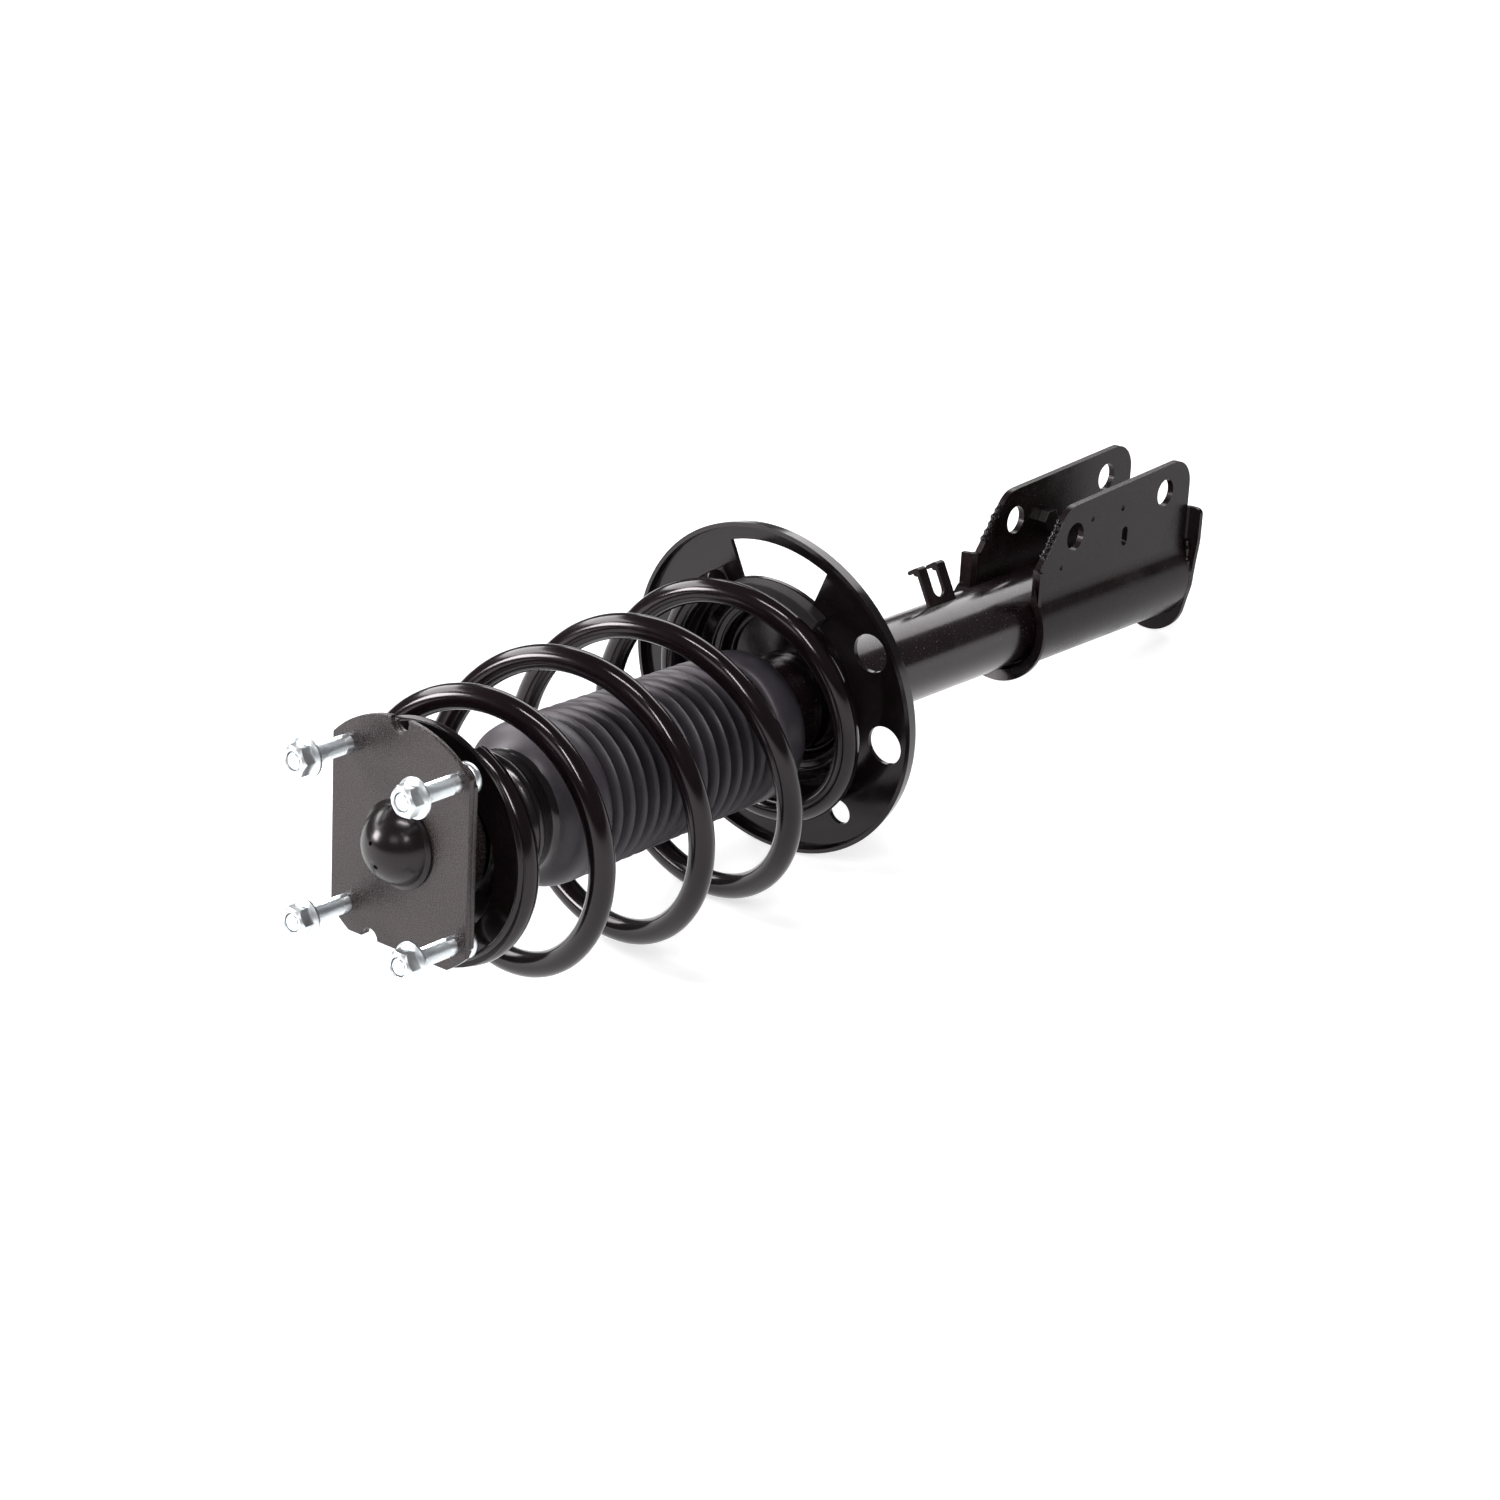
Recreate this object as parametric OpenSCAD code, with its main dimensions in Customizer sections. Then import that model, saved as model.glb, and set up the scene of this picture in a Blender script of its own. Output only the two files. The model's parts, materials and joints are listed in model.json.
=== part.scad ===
// Front suspension strut: top mount, steering bearing, coil spring, dust boot,
// twin-tube damper, lower spring seat and clevis bracket for the knuckle.
// The damper's axis is X, from the mount plate at x = 0 to the bracket's end.
// Z is up, with the bracket's two ears standing up. All sizes are millimetres.

/* [Top mount] */
// Stud spacing across the plate, along Y
stud_spacing_y = 74; // [66:1:80]
// Stud spacing up the plate, along Z
stud_spacing_z = 86; // [78:1:92]
// Thread diameter of the studs
stud_d = 10; // [8:1:12]
// Length of stud that stands out of the plate
stud_reach = 36; // [28:1:44]
// Thickness of a stud's round head
stud_head_t = 5; // [3:0.5:6]
// Width across the flats of a stud's nut
nut_af = 15; // [13:1:18]
// Height of a stud's nut with its flange
nut_h = 10; // [8:0.5:12]
// Thickness of each of the two mount pressings
mount_t = 3; // [2:0.5:4]
// Radius of the plate's curved top and bottom
plate_r = 66.5; // [64:0.5:72]
// Width between the plate's straight sides
plate_w = 94; // [92:1:100]
// Depth of the plate's flat lower edge below the axis
plate_low = 57; // [54:0.5:62]
// Radius of the locating notches in the plate's edge
notch_r = 6; // [3:0.5:7]
// Place of the lower notch across the plate
notch_y = 19.5; // [0:0.5:24]
// Radius of the rubber dome over the rod nut
dome_r = 21.5; // [20:0.5:23]
// Width of the rim round the dome's foot
dome_rim_w = 3; // [1.5:0.5:4]
// Height of the rubber dome
dome_h = 18; // [17:0.5:22]
// Wall of the rubber dome
dome_wall = 2; // [1:0.25:2.5]
// Inside depth of that cup
cup_depth = 18; // [15:0.5:22]
// Outside radius of the steel core in the isolator
core_r = 13; // [12:0.5:15]

/* [Bearing] */
// Diameter of the bearing balls
ball_d = 5; // [4:0.5:6]
// Number of balls
ball_count = 22; // [12:1:28]
// Thickness of each race behind the balls
race_back = 1.5; // [1:0.25:2.5]

/* [Spring] */
// Diameter of the spring wire
wire_d = 13.7; // [12:0.1:15]
// Radius of the small top coil, to the wire's centre
top_coil_r = 56; // [55:0.5:60]
// Radius of the first free coil, to the wire's centre
first_coil_r = 73; // [68:0.5:80]
// Radius of the middle coils, to the wire's centre
free_coil_r = 79.5; // [74:0.5:84]
// Radius of the small bottom coil, to the wire's centre
bottom_coil_r = 66.5; // [64:0.5:74]
// Distance that the spring's top coil sits below the damper's axis
spring_drop = 8; // [4:0.5:9]
// Distance that the free coils bow downward
spring_bow = 12.5; // [0:0.5:18]
// Lean of the first free coils' tops away from the mount, in degrees
first_lean = 6; // [0:0.5:8]
// Turns from the top of the first coil to the wire's lower tip
spring_turns = 4.92; // [4.7:0.01:4.98]
// Thickness of the rubber pads under the spring's ends
pad_t = 1.5; // [1.5:0.25:4]

/* [Spring seats] */
// Thickness of the seat pressings
seat_t = 2.5; // [2:0.25:3.5]
// Outside radius of the upper seat's lip
upper_lip_r = 64.5; // [64:0.5:72]
// Height of the upper seat's lip above its spring ring
upper_lip_h = 0.5; // [0.5:0.5:6]
// Distance that the upper seat's lip sits below the damper's axis
upper_drop = 3.3; // [0:0.1:5]
// Length of the upper seat's pilot inside the spring
pilot_h = 14; // [12:0.5:22]
// Place of the lower seat's flat along the damper
lower_seat_x = 293; // [285:1:300]
// Outside radius of the lower seat
lower_seat_r = 96.8; // [94:0.2:102]
// Distance that the lower seat's centre sits above the damper's axis
lower_rise = 11; // [6:0.5:11]
// Lean of the lower seat's top toward the mount, in degrees
seat_lean = 6.5; // [3:0.5:8]
// Depth of the lower seat's rolled rim
rim_depth = 7; // [4:0.5:10]
// Radius of the round holes in the lower seat
seat_hole_r = 11; // [8:0.5:12]

/* [Dust boot] */
// Distance that the boot hangs below the damper's axis
boot_drop = 4.5; // [0:0.5:5]
// Outside radius of the boot's neck
boot_neck_r = 34; // [33:0.5:36]
// Height of the two beads round the boot's neck
bead_h = 3.5; // [2:0.5:5]
// Outside radius of the boot's crests
boot_r = 44.5; // [42:0.5:46]
// Depth of the boot's folds
fold_depth = 5; // [3:0.5:6]
// Number of folds
fold_count = 14; // [8:1:16]
// Wall of the boot
boot_wall = 1.8; // [1.2:0.1:2.2]
// Place of the boot's lower end along the damper
boot_end_x = 272; // [262:1:276]

/* [Damper] */
// Outside diameter of the damper's body
tube_d = 51; // [48:0.5:54]
// Wall of the damper's body
tube_wall = 2; // [1.5:0.25:3]
// Place of the body's upper end along the axis
tube_top_x = 216; // [206:1:224]
// Place of the body's lower end along the axis
tube_end_x = 668; // [660:1:676]
// Diameter of the piston rod
rod_d = 20; // [18:0.5:22]
// Thread diameter at the rod's upper end
rod_thread_d = 14; // [12:1:16]
// Bore of the pressure tube
bore_d = 32; // [30:0.5:35]
// Wall of the pressure tube
bore_wall = 1.5; // [1:0.25:2]
// Length of the bump stop
bump_length = 66; // [50:1:68]

/* [Knuckle bracket] */
// Thickness of the bracket's sheet
bracket_t = 4; // [3:0.25:5]
// Gap between the bracket's two ears
ear_gap = 39.6; // [36:0.2:42]
// Place of the first knuckle hole along the axis
hole_x = 542; // [536:1:548]
// Height of the first knuckle hole above the axis
hole_z = 51.5; // [48:0.5:56]
// Distance between the two knuckle holes
hole_pitch = 95; // [90:1:98]
// Diameter of the knuckle holes
hole_d = 17; // [14:0.5:18]
// Tilt of the line of holes to the axis, in degrees
camber = 5; // [0:0.5:7]
// Sheet above the holes, from their centres
ear_margin = 19.5; // [15:0.5:22]
// Slope of the ears' top edge to the axis, in degrees
top_slope = 3.5; // [0:0.5:7]
// Width that the bracket's end flanges stand out
flare_w = 7; // [4:0.5:9]
// Depth of the rear flange's lip under the tube
rear_lip = 11; // [7:0.5:13]
// Place of the small bolt in the far ear, along the axis
bolt_x = 572; // [566:1:590]
// Height of the small bolt above the axis
bolt_z = 46.5; // [42:0.5:52]
// Thread diameter of the small bolt
bolt_d = 8; // [6:1:10]

/* [Hidden] */
$fn = 72;

// Clearance of pieces fitted into each other
fit = 0.05;
// Radial clearance of a part that slides or turns
run = 0.04;
// Air between a soft piece and the piece it rests on
soft = 0.3;
// Overshoot of a cut past the solid
over = 1;

// Upper seat's pilot, inside the top coil and below the damper's axis
wire_r = wire_d / 2;
pad_skirt_t = 1.5;
pilot_r = top_coil_r - wire_r - pad_skirt_t - soft;
pilot_reach = pilot_r - seat_t - spring_drop;

// Stations of the top mount along X
cup_floor_x = mount_t + cup_depth;
cup_back_x = cup_floor_x + mount_t;
cup_r = pilot_reach - mount_t - 2 * soft;
stud_r = stud_d / 2;
stud_head_r = stud_r + 4;
stud_places = [for (y = [-1, 1]) for (z = [-1, 1]) [y * stud_spacing_y / 2, z * stud_spacing_z / 2]];

// Rod, core and nut
rod_r = rod_d / 2;
rod_thread_r = rod_thread_d / 2;
core_top_x = mount_t / 2;
core_end_x = cup_back_x + 1;
washer_t = 2.5;
rod_nut_h = 10;
rod_nut_x = core_top_x - washer_t - rod_nut_h;
rod_end_x = rod_nut_x - 1;
cup_hole_r = core_r + 5;

// Bearing between the mount's cup and the upper seat
ball_r = ball_d / 2;
race_half_w = ball_r + 3;
ball_ring_r = pilot_reach - soft - race_half_w;
race_t = race_back + ball_r * 0.6;
upper_race_x = cup_back_x + fit;
ball_x = upper_race_x + race_back + run + ball_r;
lower_race_x = ball_x + ball_r + run + race_back - race_t;
seat_floor_x = lower_race_x + race_t + fit;

// Upper seat
upper_ring_x = seat_floor_x + seat_t - pilot_h;
upper_ring_back_x = upper_ring_x + seat_t;
upper_back_x = seat_floor_x + seat_t;
lip_lean = 1.5;
collar_r = boot_neck_r - boot_wall - soft - fit;
collar_h = 12;
collar_bore_r = collar_r - seat_t;
floor_hole_r = collar_bore_r - boot_drop - over;

// Spring path: the top end lies on the upper ring, the bottom end on the lower seat
spring_top_x = upper_ring_back_x + pad_t + wire_r + soft;
spring_start = 0.06;
spring_leave = 0.2;
spring_land = 4.85;
spring_ease = 1.05;
wire_sides = 14;
rings_per_turn = 32;

// Lower seat
seat_hub_h = 20;
pan_depth = 14;
land_r = bottom_coil_r - wire_r - 1;
hole_ring_r = lower_seat_r - seat_t - seat_hole_r - 6;
window_from = -20;
window_to = 26;
window_inner_r = bottom_coil_r - 2.5;
window_outer_r = lower_seat_r - 11;
stop_h = 8;
stop_from = -22;
stop_to = 36;

// Damper
tube_r = tube_d / 2;
tube_bore_r = tube_r - tube_wall;
bore_r = bore_d / 2;
cap_t = 3;
seal_t = 4;
guide_h = 20;
spigot_h = 6;
seal_x = tube_top_x + cap_t;
guide_x = seal_x + seal_t;
inner_tube_x = guide_x + guide_h;
rebound_x = inner_tube_x + spigot_h + soft;
rebound_h = 8;
shim_t = 1.5;
piston_h = 20;
piston_x = rebound_x + rebound_h + 16;
piston_nut_h = 8;
rod_tail_r = 6;
rod_tail_x = piston_x + piston_h + shim_t + piston_nut_h + 3;
plug_h = 9;
end_plate_t = 3;
base_flange_t = 6;
end_plug_x = tube_end_x - end_plate_t - plug_h;
inner_tube_end_x = end_plug_x - base_flange_t;
base_spigot_h = 10;

// Bump stop, seated under the mount's core
bump_r = floor_hole_r - 3;
bump_neck_r = min(core_r + 4, ball_ring_r - race_half_w - 2);

// Bracket
ear_in = ear_gap / 2;
ear_out = ear_in + bracket_t;
wrap_r = tube_r + fit;
wrap_out_r = wrap_r + bracket_t;
mid_t = bracket_t / 2;
hole_r = hole_d / 2;
far_hole_x = hole_x + hole_pitch * cos(camber);
far_hole_z = hole_z + hole_pitch * sin(camber);
ear_corner_r = 17;
bracket_x = hole_x - 34;
bracket_end_x = far_hole_x + 27;
shoulder_z = 38;
rear_tab_z = shoulder_z + 7;

// Turns the local Z axis onto the damper's axis, with local X along Y and local Y up
module on_axis(x = 0, z = 0) {
  translate([x, 0, z])
    rotate([90, 0, 90])
      children();
}

// Plain ring about the damper's axis
module ring(x, length, outer, inner, z = 0) {
  on_axis(x, z)
    difference() {
      cylinder(h = length, r = outer);
      translate([0, 0, -over])
        cylinder(h = length + 2 * over, r = inner);
    }
}

function unit(v) = v / norm(v);

// Unit vector square to the run that starts at point i
function run_side(points, i) =
  let (
    j = min(max(i, 0), len(points) - 2),
    along = unit(points[j + 1] - points[j])
  )
  [-along[1], along[0]];

// Step from the middle of the sheet to its face at point i
function sheet_step(points, i, t) =
  let (
    before = run_side(points, i - 1),
    after = run_side(points, i)
  )
  (before + after) / (1 + before * after) * t / 2;

// Outline of a sheet of thickness t, bent at the points along its middle
module sheet_path(points, t) {
  last = len(points) - 1;
  polygon(concat(
    [for (i = [0:last]) points[i] + sheet_step(points, i, t)],
    [for (i = [last:-1:0]) points[i] - sheet_step(points, i, t)]
  ));
}

// Smooth step from 0 at a to 1 at b
function smooth(a, b, t) = let (u = min(1, max(0, (t - a) / (b - a)))) u * u * (3 - 2 * u);

// Outline of a mount plate: round at the top, straight at the sides and cut flat below
module plate_outline(r) {
  difference() {
    intersection() {
      circle(r = r, $fn = 120);
      translate([-plate_w / 2, -plate_low])
        square([plate_w, plate_low + plate_r]);
    }
    translate([1, plate_r - notch_r / 3])
      circle(r = notch_r, $fn = 32);
    translate([notch_y, -plate_low])
      circle(r = notch_r - 0.5, $fn = 32);
    for (p = stud_places)
      translate(p)
        circle(r = stud_r + fit, $fn = 32);
  }
}

module mount_plate() {
  color("#5f5a58")
    on_axis()
      linear_extrude(mount_t)
        difference() {
          plate_outline(plate_r);
          circle(r = dome_r - dome_wall + fit);
        }
}

module mount_shell() {
  color("#3c3a39")
    difference() {
      union() {
        on_axis(mount_t)
          linear_extrude(mount_t)
            plate_outline(plate_r - mount_t);
        on_axis(mount_t)
          cylinder(h = cup_depth + mount_t, r = cup_r + mount_t);
      }
      on_axis(mount_t - over)
        cylinder(h = cup_depth + over, r = cup_r);
      on_axis(cup_floor_x - over)
        cylinder(h = mount_t + 2 * over, r = cup_hole_r);
    }
}

module mount_studs() {
  color("#d8dbde")
    for (p = stud_places) {
      translate([0, p[0], p[1]])
        on_axis(-stud_reach)
          cylinder(h = stud_reach + 2 * mount_t + stud_head_t, r = stud_r);
      translate([0, p[0], p[1]])
        on_axis(2 * mount_t)
          cylinder(h = stud_head_t, r = stud_head_r);
    }
}

module flange_nut() {
  flange_t = 2.5;
  flange_r = nut_af * 0.68;
  difference() {
    union() {
      cylinder(h = nut_h, r = nut_af / 2 / cos(30), $fn = 6);
      translate([0, 0, nut_h - flange_t])
        cylinder(h = flange_t, r = flange_r);
    }
    translate([0, 0, -over])
      cylinder(h = nut_h + 2 * over, r = stud_r + fit);
  }
}

module flange_nuts() {
  color("#e3e6e8")
    for (p = stud_places)
      translate([0, p[0], p[1]])
        on_axis(-stud_reach - 1)
          flange_nut();
}

module isolator_rubber() {
  color("#1c1b1b")
    ring(mount_t + fit, cup_depth - 2 * fit, cup_r - fit, core_r + fit);
}

module core_sleeve() {
  color("#8f9194")
    ring(core_top_x, core_end_x - core_top_x, core_r, rod_thread_r + fit);
}

module core_washer() {
  color("#8f9194")
    ring(core_top_x - washer_t, washer_t, core_r + 1, rod_thread_r + fit);
}

module rod_nut() {
  color("#a9abad")
    on_axis(rod_nut_x)
      difference() {
        cylinder(h = rod_nut_h, r = rod_thread_r + 5, $fn = 6);
        translate([0, 0, -over])
          cylinder(h = rod_nut_h + 2 * over, r = rod_thread_r + fit);
      }
}

// Shell of the dome: a ball cap on a flat rim at the plate, plugged into the plate's hole
module dome_cap() {
  dome_ball_r = (dome_r * dome_r + dome_h * dome_h) / (2 * dome_h);
  rim_t = dome_wall;
  vent_r = 1.2;
  vent_places = [[2.6, 4.6], [-0.8, -7.2]];
  color("#161414")
    on_axis()
      difference() {
        union() {
          intersection() {
            translate([0, 0, dome_ball_r - dome_h])
              sphere(r = dome_ball_r);
            translate([0, 0, -dome_h])
              cylinder(h = dome_h, r = dome_r + over);
          }
          translate([0, 0, -rim_t])
            cylinder(h = rim_t, r = dome_r + dome_rim_w);
          cylinder(h = mount_t - 2 * fit, r = dome_r - dome_wall);
        }
        intersection() {
          translate([0, 0, dome_ball_r - dome_h])
            sphere(r = dome_ball_r - dome_wall);
          translate([0, 0, -dome_h])
            cylinder(h = dome_h + over, r = dome_r - 2 * dome_wall);
        }
        cylinder(h = mount_t + over, r = dome_r - 2 * dome_wall);
        for (p = vent_places)
          translate([p[0], p[1], -dome_h - over])
            cylinder(h = dome_h, r = vent_r, $fn = 24);
      }
}

// Bearing race with a rolling groove: the groove's centre lies at ball_x
module race(x) {
  difference() {
    ring(x, race_t, ball_ring_r + race_half_w, ball_ring_r - race_half_w);
    on_axis(ball_x)
      rotate_extrude()
        translate([ball_ring_r, 0])
          circle(r = ball_r + run, $fn = 32);
  }
}

module upper_race() {
  color("#9a9c9e")
    race(upper_race_x);
}

module lower_race() {
  color("#9a9c9e")
    race(lower_race_x);
}

module ball_ring(r) {
  for (i = [0:ball_count - 1])
    rotate([i * 360 / ball_count, 0, 0])
      translate([ball_x, 0, ball_ring_r])
        sphere(r = r, $fn = 32);
}

module bearing_balls() {
  color("#c9ccce")
    ball_ring(ball_r);
}

module bearing_cage() {
  cage_t = ball_r * 0.5;
  color("#d9d3bd")
    difference() {
      ring(ball_x - cage_t / 2, cage_t, ball_ring_r + ball_r + 1, ball_ring_r - ball_r - 1);
      ball_ring(ball_r + run);
    }
}

module piston_rod() {
  color("#c4c7ca") {
    on_axis(rod_end_x)
      cylinder(h = core_end_x - rod_end_x, r = rod_thread_r);
    on_axis(core_end_x)
      cylinder(h = piston_x - shim_t - core_end_x, r = rod_r);
    on_axis(piston_x - shim_t)
      cylinder(h = rod_tail_x - piston_x + shim_t, r = rod_tail_r);
  }
}

// Foam stop with three swollen rings that narrow toward its tip
module bump_stop() {
  neck_end_x = upper_back_x + over;
  body_l = cup_back_x + bump_length - neck_end_x;
  ring_l = body_l / 3;
  groove = bump_r / 9;
  taper = bump_r / 13;
  color("#b9a24c")
    on_axis()
      rotate_extrude()
        difference() {
          union() {
            translate([0, core_end_x + fit])
              square([bump_neck_r, neck_end_x - core_end_x]);
            for (i = [0:2])
              translate([0, neck_end_x + i * ring_l])
                polygon([
                  [0, 0],
                  [bump_r - groove - i * taper, 0],
                  [bump_r - i * taper, ring_l / 4],
                  [bump_r - i * taper, ring_l * 3 / 4],
                  [bump_r - groove - i * taper, ring_l],
                  [0, ring_l]
                ]);
          }
          translate([0, -over])
            square([rod_r + soft, 3 * bump_length]);
        }
}

module rebound_stop() {
  color("#8f9194")
    ring(rebound_x, rebound_h, bore_r - 2, rod_r + fit);
}

module piston() {
  band_h = piston_h - 8;
  color("#7d7f82")
    difference() {
      ring(piston_x, piston_h, bore_r - 0.5, rod_tail_r + fit);
      ring(piston_x + 4 - fit, band_h + 2 * fit, bore_r + over, bore_r - 2 - fit);
    }
}

module piston_band() {
  color("#30302f")
    ring(piston_x + 4, piston_h - 8, bore_r - run, bore_r - 2);
}

// Stacks of thin spring discs on both faces of the piston
module piston_shims() {
  color("#b5b7b9") {
    ring(piston_x - shim_t, shim_t, bore_r - 4, rod_tail_r + fit);
    ring(piston_x + piston_h, shim_t, bore_r - 5, rod_tail_r + fit);
  }
}

module piston_nut() {
  color("#a9abad")
    on_axis(piston_x + piston_h + shim_t)
      difference() {
        cylinder(h = piston_nut_h, r = rod_tail_r + 4, $fn = 6);
        translate([0, 0, -over])
          cylinder(h = piston_nut_h + 2 * over, r = rod_tail_r + fit);
      }
}

// Lipped ring for the spring, with a cup inside it over the bearing, and a collar for the boot
module upper_seat() {
  mid = seat_t / 2;
  color("#1b1a1a")
    difference() {
      union() {
        on_axis(0, -upper_drop)
          rotate_extrude($fn = 120)
            sheet_path([
              [upper_lip_r - mid, upper_ring_x - upper_lip_h],
              [upper_lip_r - mid - lip_lean, upper_ring_x + mid],
              [pilot_reach, upper_ring_x + mid]
            ], seat_t);
        on_axis(upper_ring_x, -spring_drop)
          cylinder(h = upper_back_x - upper_ring_x, r = pilot_r);
        ring(upper_back_x - mid, collar_h + mid, collar_r, collar_bore_r, -boot_drop);
      }
      on_axis(upper_ring_x - over, -spring_drop)
        cylinder(h = seat_floor_x - upper_ring_x + over, r = pilot_r - seat_t);
      on_axis(seat_floor_x - over)
        cylinder(h = collar_h, r = floor_hole_r);
    }
}

// Rubber pad under the spring's top coil, with a skirt over the cup
module upper_insulator() {
  color("#141414")
    difference() {
      on_axis(upper_ring_back_x, -spring_drop) {
        cylinder(h = pad_t, r = top_coil_r + wire_r);
        cylinder(h = upper_back_x + pad_t - upper_ring_back_x, r = pilot_r + pad_skirt_t);
      }
      on_axis(upper_ring_x, -spring_drop)
        cylinder(h = upper_back_x + fit - upper_ring_x, r = pilot_r + fit);
      on_axis(upper_ring_x, -boot_drop)
        cylinder(h = upper_back_x + pad_t, r = collar_r + fit);
    }
}

// Share of the way from the upper to the lower seat at t turns
function spring_rise(t) =
  let (
    a = spring_leave,
    b = spring_land,
    e = spring_ease,
    span = b - a - e
  )
  t <= a ? 0 :
  t < a + e ? (t - a) * (t - a) / (2 * e) / span :
  t < b - e ? (t - a - e / 2) / span :
  t < b ? 1 - (b - t) * (b - t) / (2 * e) / span : 1;

// Radius of the coil at t turns
function coil_radius(t) =
  top_coil_r + (first_coil_r - top_coil_r) * smooth(0.3, 1.1, t)
  + (free_coil_r - first_coil_r) * smooth(0.9, 2.5, t)
  - (free_coil_r - bottom_coil_r) * smooth(3.7, 4.3, t);

// Downward shift of the free coils at t turns
function coil_bow(t) = spring_bow * smooth(0, 3, t) * (1 - smooth(3.45, 4.6, t));

// Lean of the coil's plane at share k of the way: it ends flat on each seat
function coil_lean(k) =
  first_lean * smooth(0, 0.15, k) * (1 - smooth(0.15, 0.65, k)) - seat_lean * smooth(0, 0.9, k);

// Centre of the wire at t turns, counted from straight up toward the near side
function wire_point(t) =
  let (
    a = 360 * t,
    r = coil_radius(t),
    k = spring_rise(t),
    stand = pad_t + soft + wire_r,
    bottom_x = lower_seat_x - stand * cos(seat_lean),
    bottom_z = lower_rise - stand * sin(seat_lean),
    x = spring_top_x * (1 - k) + bottom_x * k,
    z = -spring_drop * (1 - k) + bottom_z * k - coil_bow(t)
  )
  [x + r * cos(a) * sin(coil_lean(k)), -r * sin(a), z + r * cos(a) * cos(coil_lean(k))];

// Ring of points around the wire at t turns
function wire_ring(t) =
  let (
    c = wire_point(t),
    along = unit(wire_point(t + 0.002) - wire_point(t - 0.002)),
    side = unit(cross(along, [1, 0, 0])),
    out = cross(side, along)
  )
  [for (i = [0:wire_sides - 1])
    let (a = 360 * i / wire_sides)
    c + wire_r * (cos(a) * side + sin(a) * out)];

module coil_spring() {
  steps = round((spring_turns - spring_start) * rings_per_turn);
  pitch = (spring_turns - spring_start) / steps;
  points = [for (s = [0:steps]) each wire_ring(spring_start + s * pitch)];
  sides = [for (s = [0:steps - 1]) for (i = [0:wire_sides - 1])
    let (j = (i + 1) % wire_sides)
    [s * wire_sides + i, s * wire_sides + j, (s + 1) * wire_sides + j, (s + 1) * wire_sides + i]];
  first = [for (i = [wire_sides - 1:-1:0]) i];
  last = [for (i = [0:wire_sides - 1]) steps * wire_sides + i];
  color("#171516")
    polyhedron(points = points, faces = concat([first], sides, [last]), convexity = 8);
}

// Pleated rubber sleeve: beaded neck on the seat's collar, waist, drum, folds and a plain cuff
module dust_boot() {
  neck_x = upper_back_x + pad_t + soft;
  bead_x = neck_x + 18;
  bead_l = 10;
  waist_x = neck_x + 43;
  waist_r = boot_neck_r - boot_wall;
  drum_x = waist_x + 15;
  folds_x = drum_x + 18;
  cuff_l = 24;
  fold_l = (boot_end_x - cuff_l - folds_x) / fold_count;
  valley_r = boot_r - fold_depth;
  outside = concat(
    [[boot_neck_r, neck_x], [boot_neck_r, bead_x - bead_l / 2]],
    [for (i = [0:1]) each [
      [boot_neck_r + bead_h, bead_x + i * bead_l - bead_l / 4],
      [boot_neck_r + bead_h, bead_x + i * bead_l + bead_l / 4],
      [boot_neck_r, bead_x + i * bead_l + bead_l / 2]
    ]],
    [[waist_r, waist_x], [boot_r - 3, drum_x - 3], [boot_r, drum_x + 2]],
    [for (i = [0:fold_count - 1]) each [
      [boot_r, folds_x + i * fold_l],
      [valley_r, folds_x + (i + 0.35) * fold_l],
      [valley_r, folds_x + (i + 0.5) * fold_l],
      [boot_r, folds_x + (i + 0.85) * fold_l]
    ]],
    [[boot_r, boot_end_x]]
  );
  inside = [for (i = [len(outside) - 1:-1:0]) outside[i] - [boot_wall, 0]];
  color("#33343a")
    on_axis(0, -boot_drop)
      rotate_extrude($fn = 96)
        polygon(concat(outside, inside));
}

module reserve_tube() {
  color("#1d1c1c")
    ring(seal_x, tube_end_x - end_plate_t - seal_x, tube_r, tube_bore_r);
}

module inner_tube() {
  color("#a2a4a6")
    ring(inner_tube_x, inner_tube_end_x - inner_tube_x, bore_r + bore_wall, bore_r);
}

module tube_cap() {
  color("#2a2929")
    ring(tube_top_x, cap_t, tube_r, rod_r + 2);
}

module rod_seal() {
  color("#232323")
    ring(seal_x, seal_t, tube_bore_r - fit, rod_r + run);
}

module rod_guide() {
  color("#8b8d90")
    difference() {
      union() {
        on_axis(guide_x)
          cylinder(h = guide_h, r = tube_bore_r - fit);
        on_axis(guide_x)
          cylinder(h = guide_h + spigot_h, r = bore_r - fit);
      }
      on_axis(guide_x - over)
        cylinder(h = guide_h + spigot_h + 2 * over, r = rod_r + run);
    }
}

module base_valve() {
  passage_r = 2;
  color("#8b8d90")
    difference() {
      union() {
        on_axis(inner_tube_end_x)
          cylinder(h = base_flange_t, r = tube_bore_r - fit);
        on_axis(inner_tube_end_x - base_spigot_h)
          cylinder(h = base_spigot_h, r = bore_r - fit);
      }
      for (a = [0:60:300])
        rotate([a, 0, 0])
          translate([0, 0, bore_r * 0.55])
            on_axis(inner_tube_end_x - base_spigot_h - over)
              cylinder(h = base_spigot_h + base_flange_t + 2 * over, r = passage_r, $fn = 24);
    }
}

module base_shims() {
  color("#b5b7b9")
    on_axis(inner_tube_end_x - base_spigot_h - shim_t)
      cylinder(h = shim_t, r = bore_r - 4);
}

module end_cap() {
  color("#1d1c1c") {
    on_axis(end_plug_x)
      cylinder(h = plug_h, r = tube_bore_r - fit);
    on_axis(tube_end_x - end_plate_t)
      cylinder(h = end_plate_t, r = tube_r);
  }
}

// Places a piece in the lower seat's own frame, where the flat's front face is at x = 0
module on_lower_seat() {
  translate([lower_seat_x, 0, lower_rise])
    rotate([0, -seat_lean, 0])
      children();
}

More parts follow.
